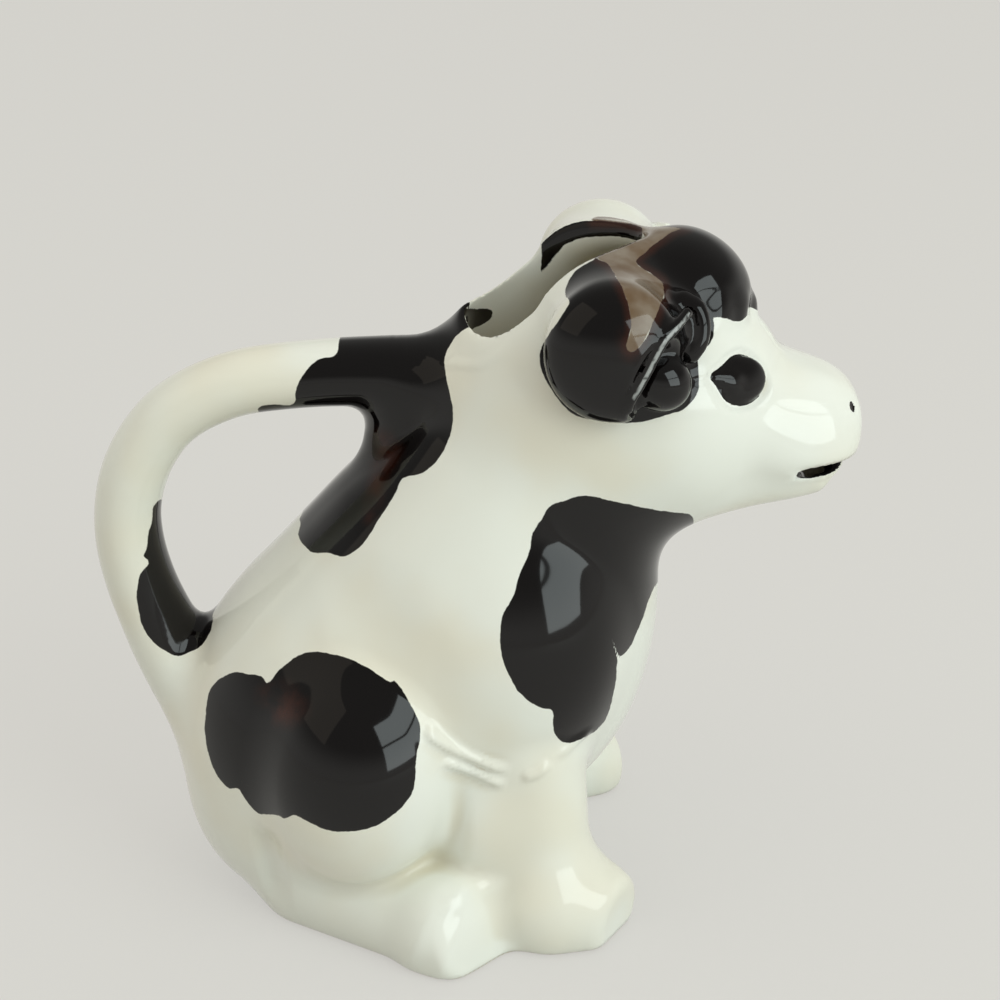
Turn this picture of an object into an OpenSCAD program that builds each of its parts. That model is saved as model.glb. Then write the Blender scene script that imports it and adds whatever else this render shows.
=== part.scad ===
// A seated cow modelled as a small cream jug in glazed earthenware.
// The tail curls up to the nape as the handle, the jug is filled behind the crown,
// and the cream pours from a slot between the lips.
// Nose towards +X, the cow's left towards +Y, base on Z = 0.

/* [Shell] */
// clay thickness of the thrown and cast walls
wall = 3.4; // [2.4:0.1:4.4]
// clay thickness under the cream
base_wall = 4; // [3:0.1:6]
// bore of the fill opening behind the crown
fill_d = 26; // [20:0.5:29]
// distance of the fill opening behind the middle of the skull
fill_back = 7.4; // [6:0.1:8.5]

/* [Rump] */
// length of the rump along the cow
rump_length = 57; // [50:0.5:62]
// width of the rump
rump_width = 59; // [53:0.5:63]
// height of the rump
rump_height = 61; // [54:0.5:66]
// distance of the rump's middle behind the origin
rump_back = 19.5; // [17:0.5:22]
// height of the rump's middle above the base
rump_z = 27.5; // [24:0.5:30]

/* [Barrel] */
// length of the barrel along the slope of the back
barrel_length = 80; // [74:0.5:84]
// width of the barrel
barrel_width = 58; // [52:0.5:62]
// depth of the barrel across its slope
barrel_depth = 60; // [54:0.5:64]
// distance of the barrel's middle behind the origin
barrel_back = 12; // [10:0.5:14]
// height of the barrel's middle above the base
barrel_z = 34; // [31:0.5:37]

/* [Chest] */
// length of the chest along the cow
chest_length = 58; // [52:0.5:62]
// width of the chest
chest_width = 56; // [51:0.5:60]
// height of the chest
chest_height = 75; // [69:0.5:80]
// height of the chest's middle above the base
chest_z = 45; // [42:0.5:48]

/* [Neck] */
// length of the withers along the slope of the back
withers_length = 80; // [74:0.5:84]
// width of the withers
withers_width = 53; // [48:0.5:57]
// depth of the withers across their slope
withers_depth = 50; // [45:0.5:54]
// height of the withers' middle above the base
withers_z = 50; // [47:0.5:53]
// length of the throat down to the chest
throat_length = 77.5; // [72:0.5:82]
// width of the throat
throat_width = 48; // [44:0.5:51]
// depth of the throat along the cow
throat_depth = 49; // [45:0.5:53]
// height of the throat's middle above the base
throat_z = 57; // [54:0.5:60]
// length of the nape along its slope
nape_length = 71; // [66:0.5:75]
// width of the nape
nape_width = 42.5; // [39:0.5:46]
// depth of the nape across its slope
nape_depth = 47.5; // [43:0.5:50]

/* [Head] */
// distance of the skull's middle before the origin
head_x = 19.5; // [18:0.5:21]
// height of the skull's middle above the base
head_z = 84; // [81:0.5:87]
// length of the skull
skull_length = 49; // [46:0.5:53]
// width of the skull
skull_width = 43; // [39:0.5:47]
// height of the skull
skull_height = 51; // [47:0.5:55]
// length of the cheeks along the cow
cheek_length = 56; // [52:0.5:60]
// width across the cheeks
cheek_width = 43.5; // [39:0.5:47]
// height of the cheeks
cheek_height = 45; // [41:0.5:49]
// length of the face from the brow to the nose
face_length = 44.5; // [41:0.5:49]
// width of the face
face_width = 31; // [27:0.5:34]
// height of the face
face_height = 29.5; // [26:0.5:32]
// distance of the nose pad's middle before the skull's middle
nose_reach = 28; // [26:0.2:30]
// length of the nose pad
nose_length = 24.4; // [22:0.2:27]
// width of the nose pad
nose_width = 25; // [22:0.5:27]
// height of the nose pad
nose_height = 20.2; // [18:0.2:22]
// length of the jaw
jaw_length = 57; // [53:0.5:61]
// width of the jaw
jaw_width = 29.5; // [26:0.5:32]
// height of the jaw
jaw_height = 21; // [18:0.5:23]
// distance of the lower lip before the skull's middle
lip_reach = 34; // [32:0.2:35.6]
// thickness of the lower lip
lip_d = 4.6; // [3.8:0.1:5.4]
// distance between the middles of the lower lip's two ends
lip_width = 9.4; // [7:0.2:12]
// thickness of the chin where the lower lip starts
chin_d = 12; // [10:0.2:14]

/* [Mouth] */
// height of the pouring slot
slot_height = 2.8; // [2:0.1:3.6]
// length of the pouring slot back from its front
slot_length = 18.4; // [15:0.2:21]
// width of the bore that feeds the slot
feed_width = 9; // [6:0.5:12]

/* [Poll] */
// length of the curly poll over the forehead
poll_length = 19; // [16:0.5:22]
// width of the poll
poll_width = 21; // [18:0.5:24]
// thickness of the poll
poll_height = 13.8; // [11:0.2:16]

/* [Eyes] */
// length of an eye
eye_length = 8.2; // [7:0.1:9.5]
// thickness of an eye from its inner side to its dome
eye_width = 5.2; // [4.4:0.1:6.5]
// height of an eye
eye_height = 7.2; // [6:0.1:8.5]

/* [Ears] */
// length of an ear
ear_length = 22.4; // [19:0.2:25]
// thickness of an ear
ear_width = 10; // [8.5:0.1:11.5]
// height of an ear
ear_height = 18.8; // [16:0.2:21]
// distance of an ear's middle from the cow's mid plane
ear_aside = 23; // [21.5:0.1:24.5]
// thickness of the ear's root
ear_root_d = 11; // [9:0.2:13]

/* [Handle] */
// distance that the tail reaches back from the nape
tail_reach = 52.8; // [48:0.2:57]
// height from the tail's root on the rump to its end at the nape
tail_rise = 60; // [56:0.5:64]
// thickness of the tail
tail_d = 10; // [8.5:0.1:11.5]
// width of the tail across the cow
tail_width = 12.5; // [10.5:0.1:14.5]

/* [Forelegs] */
// length of a shoulder along the cow
shoulder_length = 31; // [28:0.5:34]
// thickness of a shoulder
shoulder_width = 27.6; // [25:0.2:30]
// height of a shoulder
shoulder_height = 42; // [38:0.5:46]
// height of a shoulder's middle above the base
shoulder_z = 46; // [43:0.5:49]
// thickness of a foreleg
foreleg_d = 18; // [16:0.2:20]
// height of the foreleg's upper end above the base
foreleg_z = 30; // [27:0.5:33]
// distance of a foreleg from the cow's mid plane
foreleg_aside = 19.5; // [18:0.1:21]
// distance of a foreleg before the origin
foreleg_x = 8.2; // [7:0.1:9.5]
// thickness of a forefoot at its heel
forefoot_d = 18.8; // [17:0.2:21]
// thickness of a forefoot at its toe
foretoe_d = 14.8; // [13:0.2:17]
// length from a forefoot's heel to its toe, middle to middle
forefoot_length = 6.1; // [5:0.1:8]

/* [Hind legs] */
// length of a haunch along the cow
haunch_length = 32.6; // [29:0.2:36]
// thickness of a haunch
haunch_width = 37; // [34:0.5:40]
// height of a haunch
haunch_height = 37; // [33:0.5:41]
// distance of a haunch's middle behind the origin
haunch_back = 17.6; // [16:0.2:19]
// how far a haunch stands out from the barrel's side
haunch_proud = 8; // [6:0.2:9.6]
// height of a haunch's middle above the base
haunch_z = 31; // [28:0.5:33]
// thickness of the shank at the hock
hock_d = 24; // [21:0.5:26]
// thickness of the shank above the hoof
shank_d = 20.8; // [19:0.2:23]
// length of the shank along the cow, middle to middle
shank_length = 19; // [16:0.5:22]
// thickness of a hind hoof at its heel
hoof_d = 18; // [16:0.2:20]
// thickness of a hind hoof at its toe
hoof_toe_d = 16; // [14:0.2:18]
// length from a hind hoof's heel to its toe, middle to middle
hoof_length = 5.3; // [4:0.1:7]

/* [Hidden] */
// roundness of the large forms, the limbs and the cavities
large_facets = 32;
limb_facets = 24;
inner_facets = 20;
ring_sides = 16;
// places on the neck and the head, from the skull's middle
nape_at = [head_x - nape_width * 0.141, 0, head_z - nape_depth * 0.179];
cheek_at = [head_x + cheek_length * 0.018, 0, head_z - cheek_height * 0.033];
face_at = [head_x + nose_reach * 0.464, 0, head_z - face_height * 0.085];
nose_at = [head_x + nose_reach, 0, head_z - nose_height * 0.218];
jaw_at = [head_x + jaw_length * 0.088, 0, head_z - jaw_height * 0.548];
lip_at = [head_x + lip_reach, lip_width / 2, jaw_at.z - jaw_height * 0.133];
chin_at = [lip_at.x - lip_reach * 0.43, lip_at.y, lip_at.z + chin_d * 0.125];
slot_at = [lip_at.x + slot_length * 0.13, 0, lip_at.z + lip_d / 2 - slot_height * 0.25];
slot_width = nose_width * 0.92;
feed_at = [face_at.x - face_length * 0.06, (feed_width - slot_height) / 2, slot_at.z + slot_height];
poll_at = [head_x + skull_length * 0.288, 0, head_z + skull_height * 0.339];
eye_at = [cheek_at.x + cheek_length * 0.341, cheek_width * 0.315, cheek_at.z + cheek_height * 0.167];
ear_at = [head_x + skull_length * 0.0225, ear_aside, head_z + skull_height * 0.251];
ear_root_at = [ear_at.x + ear_length * 0.397, skull_width * 0.349, ear_at.z + ear_height * 0.09];
ear_bend_at = [ear_at.x + ear_length * 0.174, ear_aside - ear_width * 0.25, ear_at.z + ear_height * 0.064];
scoop_at = [ear_at.x + ear_length * 0.442, ear_aside + ear_width * 0.42, ear_at.z - ear_height * 0.149];
scoop_size = [ear_length * 0.732, ear_width * 1.08, ear_height * 0.85];
// leans of the forms, in degrees
rump_lean = -34;
back_lean = 41.5;
chest_lean = -13;
throat_lean = 56;
nape_lean = 52;
skull_lean = -6;
cheek_lean = -9;
face_lean = -12.5;
nose_lean = -8;
jaw_lean = 2;
poll_lean = -32;
ear_lean = 6;
ear_turn = 3;
ear_roll = 12;
scoop_lean = 30;
eye_turn = -26;
shoulder_lean = -6;
haunch_lean = -8;
seam_lean = -38;
// the luting seam between head and body passes below the nape rim
seam_at = [head_x - skull_length * 0.48, 0, head_z + skull_height * 0.096];
// the tail's path from the nape to the rump: back, down and thickness shares
tail_shares = [
    [0, 0, 1.7], [0.114, 0.013, 1.32], [0.227, 0.01, 1.08], [0.379, 0.013, 1.02],
    [0.53, 0.025, 1], [0.653, 0.043, 0.99], [0.767, 0.083, 0.99], [0.856, 0.137, 1],
    [0.924, 0.21, 1.02], [0.972, 0.293, 1.04], [0.998, 0.387, 1.04], [1, 0.483, 1.06],
    [0.981, 0.583, 1.08], [0.947, 0.683, 1.12], [0.898, 0.792, 1.22], [0.824, 0.908, 1.4],
    [0.739, 1, 1.6]
];
tail_start = [head_x - skull_length * 0.439, head_z + skull_height * 0.059];
tail_steps = len(tail_shares) - 1;
// places on the legs
shoulder_at = [foreleg_x - foreleg_d * 0.094, foreleg_aside - shoulder_width * 0.145, shoulder_z];
foreleg_at = [foreleg_x, foreleg_aside, foreleg_z];
pastern_at = [foreleg_x + foreleg_d * 0.1, foreleg_aside + foreleg_d * 0.083, foreleg_d / 2];
forefoot_at = [foreleg_x + foreleg_d * 0.239, foreleg_aside + foreleg_d * 0.111, forefoot_d * 0.239];
foretoe_at = forefoot_at + [forefoot_length, forefoot_length * 0.18, -forefoot_length * 0.148];
haunch_aside = barrel_width / 2 + haunch_proud - haunch_width / 2;
haunch_at = [-haunch_back, haunch_aside, haunch_z];
hock_at = [-haunch_back - haunch_length * 0.227, haunch_aside - haunch_width * 0.122, hock_d * 0.292];
shank_at = hock_at + [shank_length, shank_length * 0.658, -shank_length * 0.053];
hoof_at = shank_at + [hoof_d * 0.139, hoof_d * 0.128, -hoof_d * 0.083];
hoof_toe_at = hoof_at + [hoof_length, hoof_length * 0.264, -hoof_length * 0.094];
// a block larger than the cow, for the base plane and the seam
reach = 2 * (tail_reach + head_x + nose_reach + nose_length);

// one egg-shaped form, shrunk by the clay's thickness where inset is given
module egg(at, size, lean = 0, turn = 0, roll = 0, inset = 0, facets = large_facets) {
    hull()
        translate(at)
            rotate([roll, -lean, turn])
                scale(size - 2 * inset * [1, 1, 1])
                    sphere(d = 1, $fn = facets);
}

// one rounded limb between two places
module limb(from, to, from_d, to_d, facets = limb_facets) {
    hull() {
        translate(from)
            sphere(d = from_d, $fn = facets);
        translate(to)
            sphere(d = to_d, $fn = facets);
    }
}

// the space above the base plane
module above_base() {
    translate([-reach / 2, -reach / 2, 0])
        cube(reach);
}

// the space on the head's side of the luting seam
module head_side() {
    translate(seam_at)
        rotate([0, -seam_lean, 0])
            translate([-reach / 2, -reach / 2, 0])
                cube(reach);
}

module trunk_form(inset = 0, facets = large_facets) {
    egg([-rump_back, 0, rump_z], [rump_length, rump_width, rump_height],
        rump_lean, inset = inset, facets = facets);
    egg([-barrel_back, 0, barrel_z], [barrel_length, barrel_width, barrel_depth],
        back_lean, inset = inset, facets = facets);
    egg([0, 0, chest_z], [chest_length, chest_width, chest_height],
        chest_lean, inset = inset, facets = facets);
    egg([-withers_width * 0.072, 0, withers_z], [withers_length, withers_width, withers_depth],
        back_lean, inset = inset, facets = facets);
    egg([throat_width * 0.031, 0, throat_z], [throat_length, throat_width, throat_depth],
        throat_lean, inset = inset, facets = facets);
    egg(nape_at, [nape_length, nape_width, nape_depth],
        nape_lean, inset = inset, facets = facets);
}

module head_form(inset = 0, facets = large_facets) {
    egg([head_x, 0, head_z], [skull_length, skull_width, skull_height],
        skull_lean, inset = inset, facets = facets);
    egg(cheek_at, [cheek_length, cheek_width, cheek_height],
        cheek_lean, inset = inset, facets = facets);
    egg(face_at, [face_length, face_width, face_height],
        face_lean, inset = inset, facets = facets);
    egg(nose_at, [nose_length, nose_width, nose_height],
        nose_lean, inset = inset, facets = facets);
    egg(jaw_at, [jaw_length, jaw_width, jaw_height],
        jaw_lean, inset = inset, facets = facets);
}

module lower_lip() {
    hull() {
        for (side = [-1, 1]) {
            translate([lip_at.x, side * lip_at.y, lip_at.z])
                sphere(d = lip_d, $fn = inner_facets);
            translate([chin_at.x, side * chin_at.y, chin_at.z])
                sphere(d = chin_d, $fn = inner_facets);
        }
    }
}

// the cream's space, from the base up through the neck into the muzzle
module cavity() {
    intersection() {
        union() {
            trunk_form(wall, inner_facets);
            head_form(wall, inner_facets);
        }
        translate([0, 0, base_wall])
            above_base();
    }
    translate([head_x - fill_back, 0, head_z])
        cylinder(d = fill_d, h = skull_height, $fn = large_facets);
}

// the slot between the lips and the bore that feeds it
module mouth() {
    egg(slot_at, [slot_length, slot_width, slot_height], facets = inner_facets);
    hull() {
        for (side = [-1, 1]) {
            translate([slot_at.x, side * feed_at.y, slot_at.z])
                sphere(d = slot_height, $fn = inner_facets);
            translate([feed_at.x, side * feed_at.y, feed_at.z])
                sphere(d = slot_height, $fn = inner_facets);
        }
    }
}

module trunk_and_head() {
    trunk_form();
    head_form();
    lower_lip();
}

module jug() {
    difference() {
        intersection() {
            trunk_and_head();
            above_base();
        }
        cavity();
        mouth();
    }
}

module torso_shell() {
    color("ivory")
        difference() {
            jug();
            head_side();
        }
}

module head_shell() {
    color("linen")
        intersection() {
            jug();
            head_side();
        }
}

module poll_tuft() {
    color("dimgray")
        difference() {
            egg(poll_at, [poll_length, poll_width, poll_height], poll_lean, facets = limb_facets);
            trunk_and_head();
            cavity();
        }
}

function tail_point(i) = [
    tail_start.x - tail_reach * tail_shares[i].x,
    tail_start.y - tail_rise * tail_shares[i].y
];
function tail_along(i) = tail_point(min(i + 1, tail_steps)) - tail_point(max(i - 1, 0));
function tail_ring(i) = [
    for (k = [0:ring_sides - 1])
        let (
            a = 360 * k / ring_sides,
            along = tail_along(i) / norm(tail_along(i)),
            out = tail_d / 2 * tail_shares[i].z * cos(a),
            aside = tail_width / 2 * tail_shares[i].z * sin(a)
        )
        [tail_point(i).x - along.y * out, aside, tail_point(i).y + along.x * out]
];
function tail_points() = [for (i = [0:tail_steps]) each tail_ring(i)];
function tail_faces() = [
    [for (k = [ring_sides - 1:-1:0]) k],
    for (i = [0:tail_steps - 1])
        for (k = [0:ring_sides - 1])
            [i * ring_sides + k, i * ring_sides + (k + 1) % ring_sides,
             (i + 1) * ring_sides + (k + 1) % ring_sides, (i + 1) * ring_sides + k],
    [for (k = [0:ring_sides - 1]) tail_steps * ring_sides + k]
];

module tail_handle() {
    color("whitesmoke")
        difference() {
            polyhedron(tail_points(), tail_faces());
            trunk_and_head();
            cavity();
        }
}

module ear() {
    difference() {
        union() {
            egg(ear_at, [ear_length, ear_width, ear_height], ear_lean, ear_turn, ear_roll, facets = limb_facets);
            limb(ear_root_at, ear_bend_at, ear_root_d, ear_root_d, inner_facets);
        }
        egg(scoop_at, scoop_size, scoop_lean, facets = limb_facets);
        trunk_and_head();
        cavity();
    }
}

module eye() {
    difference() {
        egg(eye_at, [eye_length, eye_width, eye_height], turn = eye_turn, facets = limb_facets);
        trunk_and_head();
        cavity();
    }
}

module hind_foot_form() {
    limb(hock_at, shank_at, hock_d, shank_d);
    limb(hoof_at, hoof_toe_at, hoof_d, hoof_toe_d);
}

module haunch_form() {
    egg(haunch_at, [haunch_length, haunch_width, haunch_height], haunch_lean, facets = limb_facets);
}

module foreleg() {
    difference() {
        intersection() {
            union() {
                egg(shoulder_at, [shoulder_length, shoulder_width, shoulder_height],
                    shoulder_lean, facets = limb_facets);
                limb(foreleg_at, pastern_at, foreleg_d, foreleg_d);
                limb(forefoot_at, foretoe_at, forefoot_d, foretoe_d);
            }
            above_base();
        }
        trunk_and_head();
        haunch_form();
        hind_foot_form();
    }
}

module haunch() {
    difference() {
        haunch_form();
        trunk_and_head();
        hind_foot_form();
    }
}

module hind_foot() {
    difference() {
        intersection() {
            hind_foot_form();
            above_base();
        }
        trunk_and_head();
    }
}

module right_ear() {
    color("black")
        mirror([0, 1, 0])
            ear();
}

module left_ear() {
    color("gray")
        ear();
}

module right_eye() {
    color("darkslategray")
        mirror([0, 1, 0])
            eye();
}

module left_eye() {
    color("darkslategray")
        eye();
}

module right_foreleg() {
    color("beige")
        mirror([0, 1, 0])
            foreleg();
}

module left_foreleg() {
    color("beige")
        foreleg();
}

module right_haunch() {
    color("wheat")
        mirror([0, 1, 0])
            haunch();
}

module left_haunch() {
    color("wheat")
        haunch();
}

module right_hind_foot() {
    color("tan")
        mirror([0, 1, 0])
            hind_foot();
}

module left_hind_foot() {
    color("tan")
        hind_foot();
}

torso_shell();
head_shell();
poll_tuft();
tail_handle();
right_ear();
left_ear();
right_eye();
left_eye();
right_foreleg();
left_foreleg();
right_haunch();
left_haunch();
right_hind_foot();
left_hind_foot();
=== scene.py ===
"""Cow creamer: a slip-cast, glazed earthenware jug in the shape of a seated cow.

The clay is sculpted as one soft form out of eggs, tapered limbs and hollows, in millimetres, so
that the glaze runs over the luted joints as it does on the real jug. The form is then meshed once,
with a piece number at every point, so that each luted piece comes out as a closed solid whose
edges meet its neighbours' edges exactly. The brushed black patches are distances from outlines.
"""
import logging
import math
from dataclasses import dataclass, field
from enum import Enum
from itertools import combinations
from typing import Callable, Optional, Sequence

import bpy
import numpy as np
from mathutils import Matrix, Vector


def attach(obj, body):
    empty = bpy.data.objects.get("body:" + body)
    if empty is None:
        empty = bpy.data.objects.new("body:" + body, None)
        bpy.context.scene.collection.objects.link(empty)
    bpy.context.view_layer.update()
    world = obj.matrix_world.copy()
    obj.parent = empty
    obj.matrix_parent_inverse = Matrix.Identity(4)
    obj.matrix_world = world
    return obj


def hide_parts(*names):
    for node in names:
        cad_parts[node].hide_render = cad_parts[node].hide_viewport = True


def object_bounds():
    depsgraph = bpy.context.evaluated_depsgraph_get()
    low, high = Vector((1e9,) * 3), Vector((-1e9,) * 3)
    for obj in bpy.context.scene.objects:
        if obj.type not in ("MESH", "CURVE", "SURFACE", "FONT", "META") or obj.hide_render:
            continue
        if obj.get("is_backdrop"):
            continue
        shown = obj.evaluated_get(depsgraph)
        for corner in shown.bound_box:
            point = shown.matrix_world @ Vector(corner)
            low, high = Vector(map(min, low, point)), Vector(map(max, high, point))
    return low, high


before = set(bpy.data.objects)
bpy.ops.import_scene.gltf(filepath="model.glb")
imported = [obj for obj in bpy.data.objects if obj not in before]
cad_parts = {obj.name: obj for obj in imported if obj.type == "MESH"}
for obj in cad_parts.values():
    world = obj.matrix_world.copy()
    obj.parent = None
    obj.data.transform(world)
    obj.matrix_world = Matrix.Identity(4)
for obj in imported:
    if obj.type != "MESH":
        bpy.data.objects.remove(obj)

logging.basicConfig(level=logging.INFO, format="%(levelname)s %(message)s")
LOG = logging.getLogger("cow_creamer")

Array = np.ndarray
Point = tuple[float, float, float]
Span = tuple[float, float]
Tree = bpy.types.NodeTree
Socket = bpy.types.NodeSocket
MM = 0.001
CAD_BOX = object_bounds()


# Soft clay

def melt(a: Array, b: Array, width: float) -> Array:
    """Joins two clay forms with a soft fillet.

    Args:
        a: signed distances to the first form, in mm, negative inside.
        b: signed distances to the second form.
        width: how wide the fillet's zone is, in mm.

    Returns:
        The signed distances to the joined form.
    """
    share = np.maximum(width - np.abs(a - b), 0.0) / width
    return np.minimum(a, b) - share * share * (width * 0.25)


def pare(a: Array, b: Array, width: float) -> Array:
    """Cuts one form out of another, with a rounded edge.

    Args:
        a: signed distances to the form that is cut.
        b: signed distances to the form that is taken away.
        width: how wide the rounding's zone is, in mm.

    Returns:
        The signed distances to what is left.
    """
    return -melt(-a, b, width)


def turned(turn: float, lean: float, roll: float) -> Array:
    """The matrix that takes a row vector into a form's own axes.

    Args:
        turn: turn about Z, in degrees.
        lean: lift of the form's front end, in degrees.
        roll: turn about the form's own length, in degrees.

    Returns:
        A 3 x 3 matrix.
    """
    (ct, st), (cl, sl), (cr, sr) = (
        (math.cos(math.radians(v)), math.sin(math.radians(v))) for v in (turn, lean, roll)
    )
    about_z = np.array([[ct, -st, 0], [st, ct, 0], [0, 0, 1]])
    about_y = np.array([[cl, 0, -sl], [0, 1, 0], [sl, 0, cl]])
    about_x = np.array([[1, 0, 0], [0, cr, -sr], [0, sr, cr]])
    return about_z @ about_y @ about_x


@dataclass(frozen=True)
class Egg:
    """An egg-shaped lump: its middle and its three half sizes, in mm, and its turns, in degrees.

    square is 2 for a true egg, and more for one with flatter sides and fuller corners.
    """

    at: Point
    size: Point
    lean: float = 0.0
    turn: float = 0.0
    roll: float = 0.0
    square: float = 2.0

    def depth(self, p: Array) -> Array:
        """Signed distance to the egg's skin.

        Args:
            p: the points, in mm.

        Returns:
            Signed distances in mm, negative inside.
        """
        half = np.array(self.size, np.float32)
        axes = (turned(self.turn, self.lean, self.roll) / half).astype(np.float32)
        q = (p - np.array(self.at, np.float32)) @ axes
        if self.square == 2.0:
            near = np.sqrt((q * q).sum(1))
            q /= half
            steep = np.sqrt((q * q).sum(1))
            return near * (near - 1.0) / np.maximum(steep, 1e-6)
        q = np.abs(q) + 1e-4
        near = (q ** self.square).sum(1) ** (1 / self.square)
        q = (q / near[:, None]) ** (self.square - 1.0) / half
        return (near - 1.0) / np.sqrt((q * q).sum(1))


@dataclass(frozen=True)
class Limb:
    """A tapered limb with round ends, from a to b, with its half thickness at each, in mm."""

    a: Point
    b: Point
    thick_a: float
    thick_b: float

    def depth(self, p: Array) -> Array:
        """Signed distance to the limb's skin.

        Args:
            p: the points, in mm.

        Returns:
            Signed distances in mm, negative inside.
        """
        a, b = np.array(self.a, np.float32), np.array(self.b, np.float32)
        along = b - a
        length2 = float(along @ along)
        taper = self.thick_a - self.thick_b
        slope2 = length2 - taper * taper
        pa = p - a
        y = pa @ along
        z = y - length2
        aside = pa * length2 - y[:, None] * along
        x2 = (aside * aside).sum(1)
        y2, z2 = y * y * length2, z * z * length2
        k = np.sign(taper) * taper * taper * x2
        side = (np.sqrt(x2 * (slope2 / length2)) + y * taper) / length2 - self.thick_a
        past_b = np.sqrt(x2 + z2) / length2 - self.thick_b
        past_a = np.sqrt(x2 + y2) / length2 - self.thick_a
        side = np.where(np.sign(y) * slope2 * y2 < k, past_a, side)
        return np.where(np.sign(z) * slope2 * z2 > k, past_b, side).astype(np.float32)


def heap(q: Array, form: Egg | Limb, *more: tuple[Egg | Limb, float]) -> Array:
    """Melts forms together, one after another.

    Args:
        q: the points.
        form: the first form.
        more: each next form, with the width of its fillet in mm.

    Returns:
        The signed distances to the joined form.
    """
    depth = form.depth(q)
    for other, width in more:
        depth = melt(depth, other.depth(q), width)
    return depth


def locally(p: Array, depth: Array, at: Point, reach: float,
            work: Callable[[Array, Array], Array]) -> Array:
    """Works a small detail into the form, near one place only.

    Args:
        p: the points, in mm.
        depth: the form's signed distances there.
        at: the detail's middle.
        reach: how far from its middle the detail can be felt, in mm.
        work: takes the points and distances nearby, and returns the new distances.

    Returns:
        The signed distances with the detail in place.
    """
    off = p - np.array(at, np.float32)
    near = np.flatnonzero((off * off).sum(1) < reach * reach)
    if len(near):
        depth[near] = work(p[near], depth[near])
    return depth


def to_line(p: Array, places: Array) -> tuple[Array, Array]:
    """The way from each point to a line through the places.

    Args:
        p: the points.
        places: the line's corners, with as many coordinates as the points.

    Returns:
        The distance to the line, and where along it that is, counted in corners.
    """
    best = np.full(len(p), 1e12, np.float32)
    along = np.zeros(len(p), np.float32)
    for i, (a, b) in enumerate(zip(places[:-1], places[1:])):
        ab = b - a
        share = np.clip(((p - a) @ ab) / max(float(ab @ ab), 1e-9), 0, 1)
        off = p - a - share[:, None] * ab
        off = (off * off).sum(1)
        closer = off < best
        best[closer] = off[closer]
        along[closer] = (i + share)[closer]
    return np.sqrt(best), along


def curve(places: Sequence[Sequence[float]], steps: int, closed: bool = False) -> Array:
    """A smooth curve through the places.

    Args:
        places: the places, with any number of coordinates.
        steps: how many points there are from one place to the next.
        closed: whether the curve runs on from the last place to the first.

    Returns:
        The curve's points.
    """
    p = np.array(places, np.float32)
    if not closed:
        p = np.concatenate([2 * p[:1] - p[1:2], p, 2 * p[-1:] - p[-2:-1]])
    a, b, c, d = np.roll(p, 1, 0), p, np.roll(p, -1, 0), np.roll(p, -2, 0)
    t = (np.arange(steps, dtype=np.float32) / steps)[:, None, None]
    out = 0.5 * (2 * b + (c - a) * t + (2 * a - 5 * b + 4 * c - d) * t * t
                 + (3 * b - a - 3 * c + d) * t ** 3)
    out = out.transpose(1, 0, 2)
    if closed:
        return out.reshape(-1, p.shape[1])
    return np.concatenate([out[1:-2].reshape(-1, p.shape[1]), p[-2:-1]])


@dataclass(frozen=True)
class Facet:
    """A flat that is pressed into the clay: a place on it and the way it faces."""

    at: Point
    facing: Point
    rounding: float = 1.2

    def press(self, p: Array, depth: Array) -> Array:
        """Flattens what stands in front of the flat.

        Args:
            p: the points, in mm.
            depth: the form's signed distances there.

        Returns:
            The signed distances with the flat pressed in.
        """
        facing = np.array(self.facing, np.float32)
        front = (p - np.array(self.at, np.float32)) @ (facing / np.linalg.norm(facing))
        return pare(depth, -front, self.rounding)


@dataclass(frozen=True)
class Crease:
    """A soft line in the clay of a flank: a groove, or a ridge if its depth is below nothing.

    The places are X and Z in mm. It is felt between two distances from the mid plane.
    """

    places: tuple[Span, ...]
    width: float
    depth: float
    between: Span = (8.0, 60.0)
    fade: float = 0.25

    def work(self, q: Array, depth: Array) -> Array:
        """Works the line into the form.

        Args:
            q: the points, with Y counted from the mid plane.
            depth: the form's signed distances there.

        Returns:
            The signed distances with the line in place.
        """
        line = curve(self.places, 4)
        low, high = line.min(0) - self.width, line.max(0) + self.width
        near = np.flatnonzero(
            (q[:, 0] > low[0]) & (q[:, 0] < high[0]) & (q[:, 2] > low[1]) & (q[:, 2] < high[1])
            & (q[:, 1] > self.between[0]) & (q[:, 1] < self.between[1]) & (depth < self.width)
        )
        if len(near):
            off, along = to_line(q[near][:, ::2], line)
            end = along / (len(line) - 1)
            share = np.clip(1 - (off / self.width) ** 2, 0, 1)
            fade = np.clip(np.minimum(end, 1 - end) / self.fade, 0, 1)
            depth[near] += self.depth * share * share * fade * fade * (3 - 2 * fade)
        return depth


# The cow's parts, in mm

@dataclass(frozen=True)
class Trunk:
    """The hollow body: rump, barrel, chest and neck."""

    rump: Egg = Egg((-21.0, 0, 26), (27.5, 29, 28.5), lean=-8)
    barrel: Egg = Egg((-8, 0, 37), (29.5, 28, 30), lean=42)
    chest: Egg = Egg((7, 0, 49), (21.5, 24, 29))
    seat: Egg = Egg((-22.5, 5.0, 12.5), (21.5, 19, 15), lean=-4)
    neck: Limb = Limb((0, 0, 56), (10, 0, 79), 21, 17.4)
    keel: tuple[Limb, ...] = (
        Limb((-10.6, 0, 80), (-13.0, 0, 68.5), 6.2, 4.6),
        Limb((-13.0, 0, 68.5), (-33, 0, 46), 4.6, 4.0),
    )
    keel_fillet: float = 3.0
    barrel_fillet: float = 8.0
    chest_fillet: float = 12.0
    neck_fillet: float = 14.0

    def depth(self, q: Array) -> Array:
        """Signed distance to the body's outside."""
        return heap(
            q, self.rump, (self.seat, self.barrel_fillet), (self.barrel, self.barrel_fillet),
            (self.chest, self.chest_fillet), (self.neck, self.neck_fillet),
            *((limb, self.keel_fillet) for limb in self.keel))


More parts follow.
